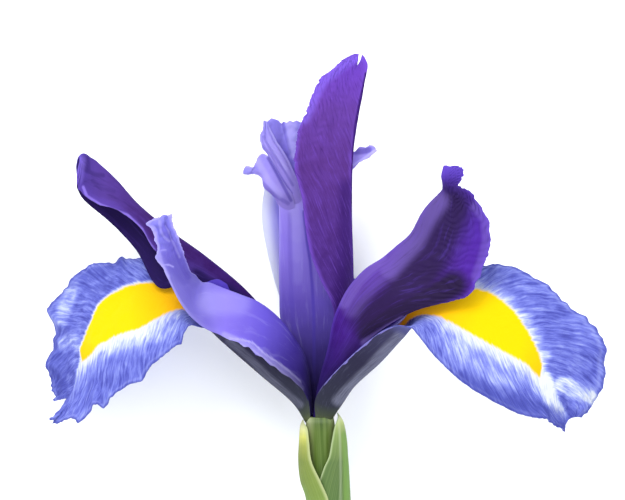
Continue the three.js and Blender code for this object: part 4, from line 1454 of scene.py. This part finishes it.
# %% Green parts and stamens
STEM_MIDDLE, STEM_WIDTH = -0.00078, 0.01


def stem_finish(name, stops, across, lines):
    """stops runs along the piece, and across is the painted light from side to side."""
    new = Finish(name, skin={"Cells": 5000.0, "Mottle": 260.0})
    stripes = (new.u * lines).noise(1.0, 3.0, dimensions="1D")
    # The painted light goes by x on the table, so its lighter sides are left and right as the
    # flower lies.
    sideways = (new.place.parts()[0] + (STEM_WIDTH / 2 - STEM_MIDDLE)) / STEM_WIDTH
    colour = new.v.ramp(stops).over(0.65, sideways.ramp(across))
    colour = colour.over(stripes.step(0.45, 0.7, 0, 0.22), (150, 172, 100))
    colour = colour.over(new.skin["Mottle"] * 0.15, (80, 108, 44))
    return new.closed(colour, stripes, through=0.05, roughness=0.45, relief=0.12, specular=0.2)


def bract_finish(name, stops, margin_colour, margin_width):
    new = Finish(name, skin={"Mottle": 300.0})
    stripes = (new.u * 40.0).noise(1.0, 2.0, dimensions="1D")
    colour = new.v.ramp(stops).over(stripes.step(0.4, 0.7, 0, 0.15), (176, 196, 124))
    colour = colour.over(new.skin["Mottle"] * 0.2, (104, 130, 62))
    colour = colour.over(new.mark("dark") * 0.8, (132, 172, 84))
    colour = colour.over(new.mark("pale"), (214, 228, 190))
    colour = colour.over(new.mark("rim").step(margin_width, 0.1, 0, 0.8), margin_colour)
    return new.closed(colour, stripes, through=0.25, roughness=0.5, relief=0.2, specular=0.15)


def stamen_finish(name):
    new = Finish(name, skin={"Cells": 2600.0, "Mottle": 500.0})
    colour = new.skin["Mottle"].between((232, 222, 190), (214, 196, 150))
    return new.closed(colour, new.skin["Grain"], through=0.1, roughness=0.7, relief=0.4)


# %% [markdown]
# Each piece now rides on the flower's one body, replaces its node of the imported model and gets
# its finish. A petal's first slot is its upper side and its second the under side.

# %% Dressing the falls and the standards
BODY = list(frame["bodies"])[0]


def dress(name, slot, upper, under=None, node=None):
    piece = pieces[name]
    if not piece.data.materials:
        piece.data.materials.append(upper)
    for k in range(len(piece.data.materials)):
        piece.data.materials[k] = under if k and under else upper
    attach(piece, BODY)
    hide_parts(node or name)
    print(name, "is finished as", slot)


for name, far_glow, band in (("fall_left", 1.5, 0.3), ("fall_right", 4.0, 0.1)):
    upper, under = fall_upper(name + "_upper", far_glow), fall_under(name + "_under", band)
    dress(name, "fall_petal", upper, under)
dress("fall_back", "fall_petal", fall_back_inner("fall_back_inner"))

# Each standard's first list runs from its foot to its tip, darker towards the foot: partly its own
# colour and partly painted shade deep in the heart. The colours after it are those of its dark
# strokes and veins, of its pale strokes, which paint sheen, and of its margin.
for name, *settings in (
    ("standard_front", [
        (0.0, 52, 16, 112), (0.25, 72, 24, 136), (0.5, 76, 34, 150), (0.72, 76, 38, 156),
        (0.85, 76, 46, 158), (1.0, 106, 78, 202),
    ], (40, 26, 64), (132, 108, 200), (106, 74, 204), 1.2, 0.3,
     {"Long lines": 16.0, "Cross lines": 8.0, "Middle": 0.1, "Slant": 0.25}),
    ("standard_right", [
        (0.0, 44, 20, 90), (0.3, 68, 36, 114), (0.5, 88, 50, 132), (0.68, 100, 60, 154),
        (0.85, 112, 66, 190), (1.0, 114, 72, 204),
    ], (56, 24, 108), (140, 108, 236), (128, 86, 216), 1.2, 0.5,
     {"Cross lines": 80.0, "Middle": 1.0, "Slant": 0.34, "Streaks": 4.0}),
    ("standard_left", [
        (0.0, 36, 10, 78), (0.3, 50, 16, 92), (0.5, 60, 28, 100), (0.7, 80, 54, 140),
        (0.85, 70, 50, 136), (1.0, 98, 76, 196),
    ], (34, 17, 80), (140, 116, 220), (96, 70, 176), 0.5, 0.3,
     {"Long lines": 18.0, "Streaks": 5.0}),
):
    dress(name, "standard_petal", standard_finish(name, *settings))

# %% [markdown]
# Each list of colours below runs along a style arm from its foot to its tip, as (place, red,
# green, blue). The crests are pieces of their own here, and stand for the same node of the
# imported model as the arm that carries them.

# %% Dressing the style arms
# The arms' lists start dark at the foot: painted shade, deep in the heart where the arms meet.
LEFT_ARM = [
    (0.0, 40, 24, 100), (0.1, 72, 52, 168), (0.2, 112, 94, 220), (0.32, 144, 126, 236),
    (0.42, 136, 128, 214), (0.55, 126, 118, 204), (0.7, 126, 118, 214), (0.85, 142, 138, 234),
    (1.0, 160, 156, 244),
]
BACK_ARM = [
    (0.0, 44, 30, 104), (0.16, 70, 54, 146), (0.3, 102, 82, 186), (0.42, 148, 128, 232),
    (0.55, 170, 152, 246), (0.72, 174, 160, 248), (1.0, 176, 168, 250),
]
RIGHT_ARM = [(0.0, 40, 20, 100), (0.5, 74, 44, 176), (1.0, 96, 66, 200)]
VIOLET_CREST = [(0.0, 50, 24, 130), (0.6, 84, 50, 196), (1.0, 110, 80, 220)]
CREST = [(0.0, 170, 150, 240), (0.5, 176, 162, 242), (1.0, 156, 150, 236)]
PALE_STYLE, PALE_VIOLET = (192, 184, 252), (124, 96, 226)

for name, node, stops, pale in (
    ("style_left", "style_left", LEFT_ARM, PALE_STYLE),
    ("style_left_far_crest", "style_left", VIOLET_CREST, PALE_VIOLET),
    ("style_right", "style_right", RIGHT_ARM, PALE_STYLE),
    ("style_back", "style_back", BACK_ARM, PALE_STYLE),
    ("style_back_hook", "style_back", CREST, PALE_STYLE),
    ("style_back_lobe", "style_back", CREST, PALE_STYLE),
    ("style_back_right_crest", "style_back", CREST, PALE_STYLE),
):
    dress(name, "style_arm", style_finish(name, stops, pale), node=node)

# %% [markdown]
# The ovary and the stem get two lists each: one for the shades along the piece, and one of
# painted light from side to side, lighter at the sides than in the middle, which keeps a round
# piece looking round in such soft light. The bracts only need the first, with the colour and
# the width in millimetres of their papery margin.

# %% Dressing the green parts and the stamens
# Painted light across the ovary: lighter at both sides than in the middle.
OVARY_PAINTED_SIDE_LIGHT = [
    (0.3, 196, 204, 156), (0.37, 150, 164, 108), (0.44, 88, 110, 44), (0.56, 62, 88, 20),
    (0.68, 84, 110, 36), (0.78, 164, 184, 112), (0.86, 206, 218, 166),
]
# Painted light across the stem, lighter at both sides.
STEM_PAINTED_SIDE_LIGHT = [(0.0, 150, 166, 100), (0.5, 92, 122, 50), (1.0, 160, 184, 112)]
dress("ovary", "green_stem", stem_finish("ovary", [
    (0.0, 110, 150, 90), (0.45, 104, 140, 80), (0.7, 92, 118, 50), (0.9, 84, 104, 46),
    (0.955, 64, 72, 56), (0.975, 120, 128, 112), (1.0, 96, 104, 84),
], OVARY_PAINTED_SIDE_LIGHT, 14.0))
dress("stem", "green_stem", stem_finish(
    "stem", [(0.0, 120, 150, 70), (0.05, 104, 146, 62), (1.0, 110, 150, 74)], STEM_PAINTED_SIDE_LIGHT, 18.0))
dress("bract_outer", "bract", bract_finish("bract_outer", [
    (0.0, 120, 160, 70), (0.4, 130, 156, 76), (0.66, 136, 152, 74), (0.74, 172, 178, 88),
    (0.8, 226, 226, 116), (0.87, 236, 236, 170), (0.95, 216, 214, 176), (1.0, 190, 176, 140),
], (196, 206, 150), 0.9))
dress("bract_inner", "bract", bract_finish("bract_inner", [
    (0.0, 112, 152, 84), (0.3, 88, 118, 66), (0.62, 98, 124, 72), (0.78, 146, 170, 100),
    (0.88, 208, 222, 144), (0.94, 232, 238, 180), (1.0, 196, 200, 130),
], (186, 204, 154), 0.5))
for name in STAMENS:
    dress(name, "stamen", stamen_finish(name))

# %% [markdown]
# The table is a plain pale sheet, and the light is what a bright window gives: a broad soft
# glow from everywhere, a large panel behind the head and a weaker one from the front.

# %% Table and light
bpy.ops.mesh.primitive_plane_add(size=6)
table = bpy.context.active_object
table.name = "table"
white = bpy.data.materials.new("table")
white.use_nodes = True
board = white.node_tree.nodes["Principled BSDF"]
board.inputs["Base Color"].default_value = (0.93, 0.95, 0.955, 1)
board.inputs["Roughness"].default_value = 0.9
table.data.materials.append(white)

world = bpy.data.worlds.new("daylight")
bpy.context.scene.world = world
world.use_nodes = True
sky = world.node_tree.nodes["Background"]
sky.inputs["Color"].default_value = (0.97, 0.985, 1, 1)
sky.inputs["Strength"].default_value = 1.45
FLOWER = Vector((0, 0.02, 0.02))


def panel(name, place, size, power):
    light = bpy.data.lights.new(name, "AREA")
    light.shape = "DISK"
    light.size = size
    light.energy = power
    lamp = bpy.data.objects.new(name, light)
    lamp.location = place
    lamp.rotation_euler = (FLOWER - Vector(place)).to_track_quat("-Z", "Y").to_euler()
    bpy.context.scene.collection.objects.link(lamp)
    print(name, "panel of", power, "W")


panel("window", (-0.35, 0.7, 0.8), 0.7, 10)
panel("fill", (0.6, -0.5, 0.7), 0.8, 3)
bpy.context.scene.view_settings.view_transform = "Standard"
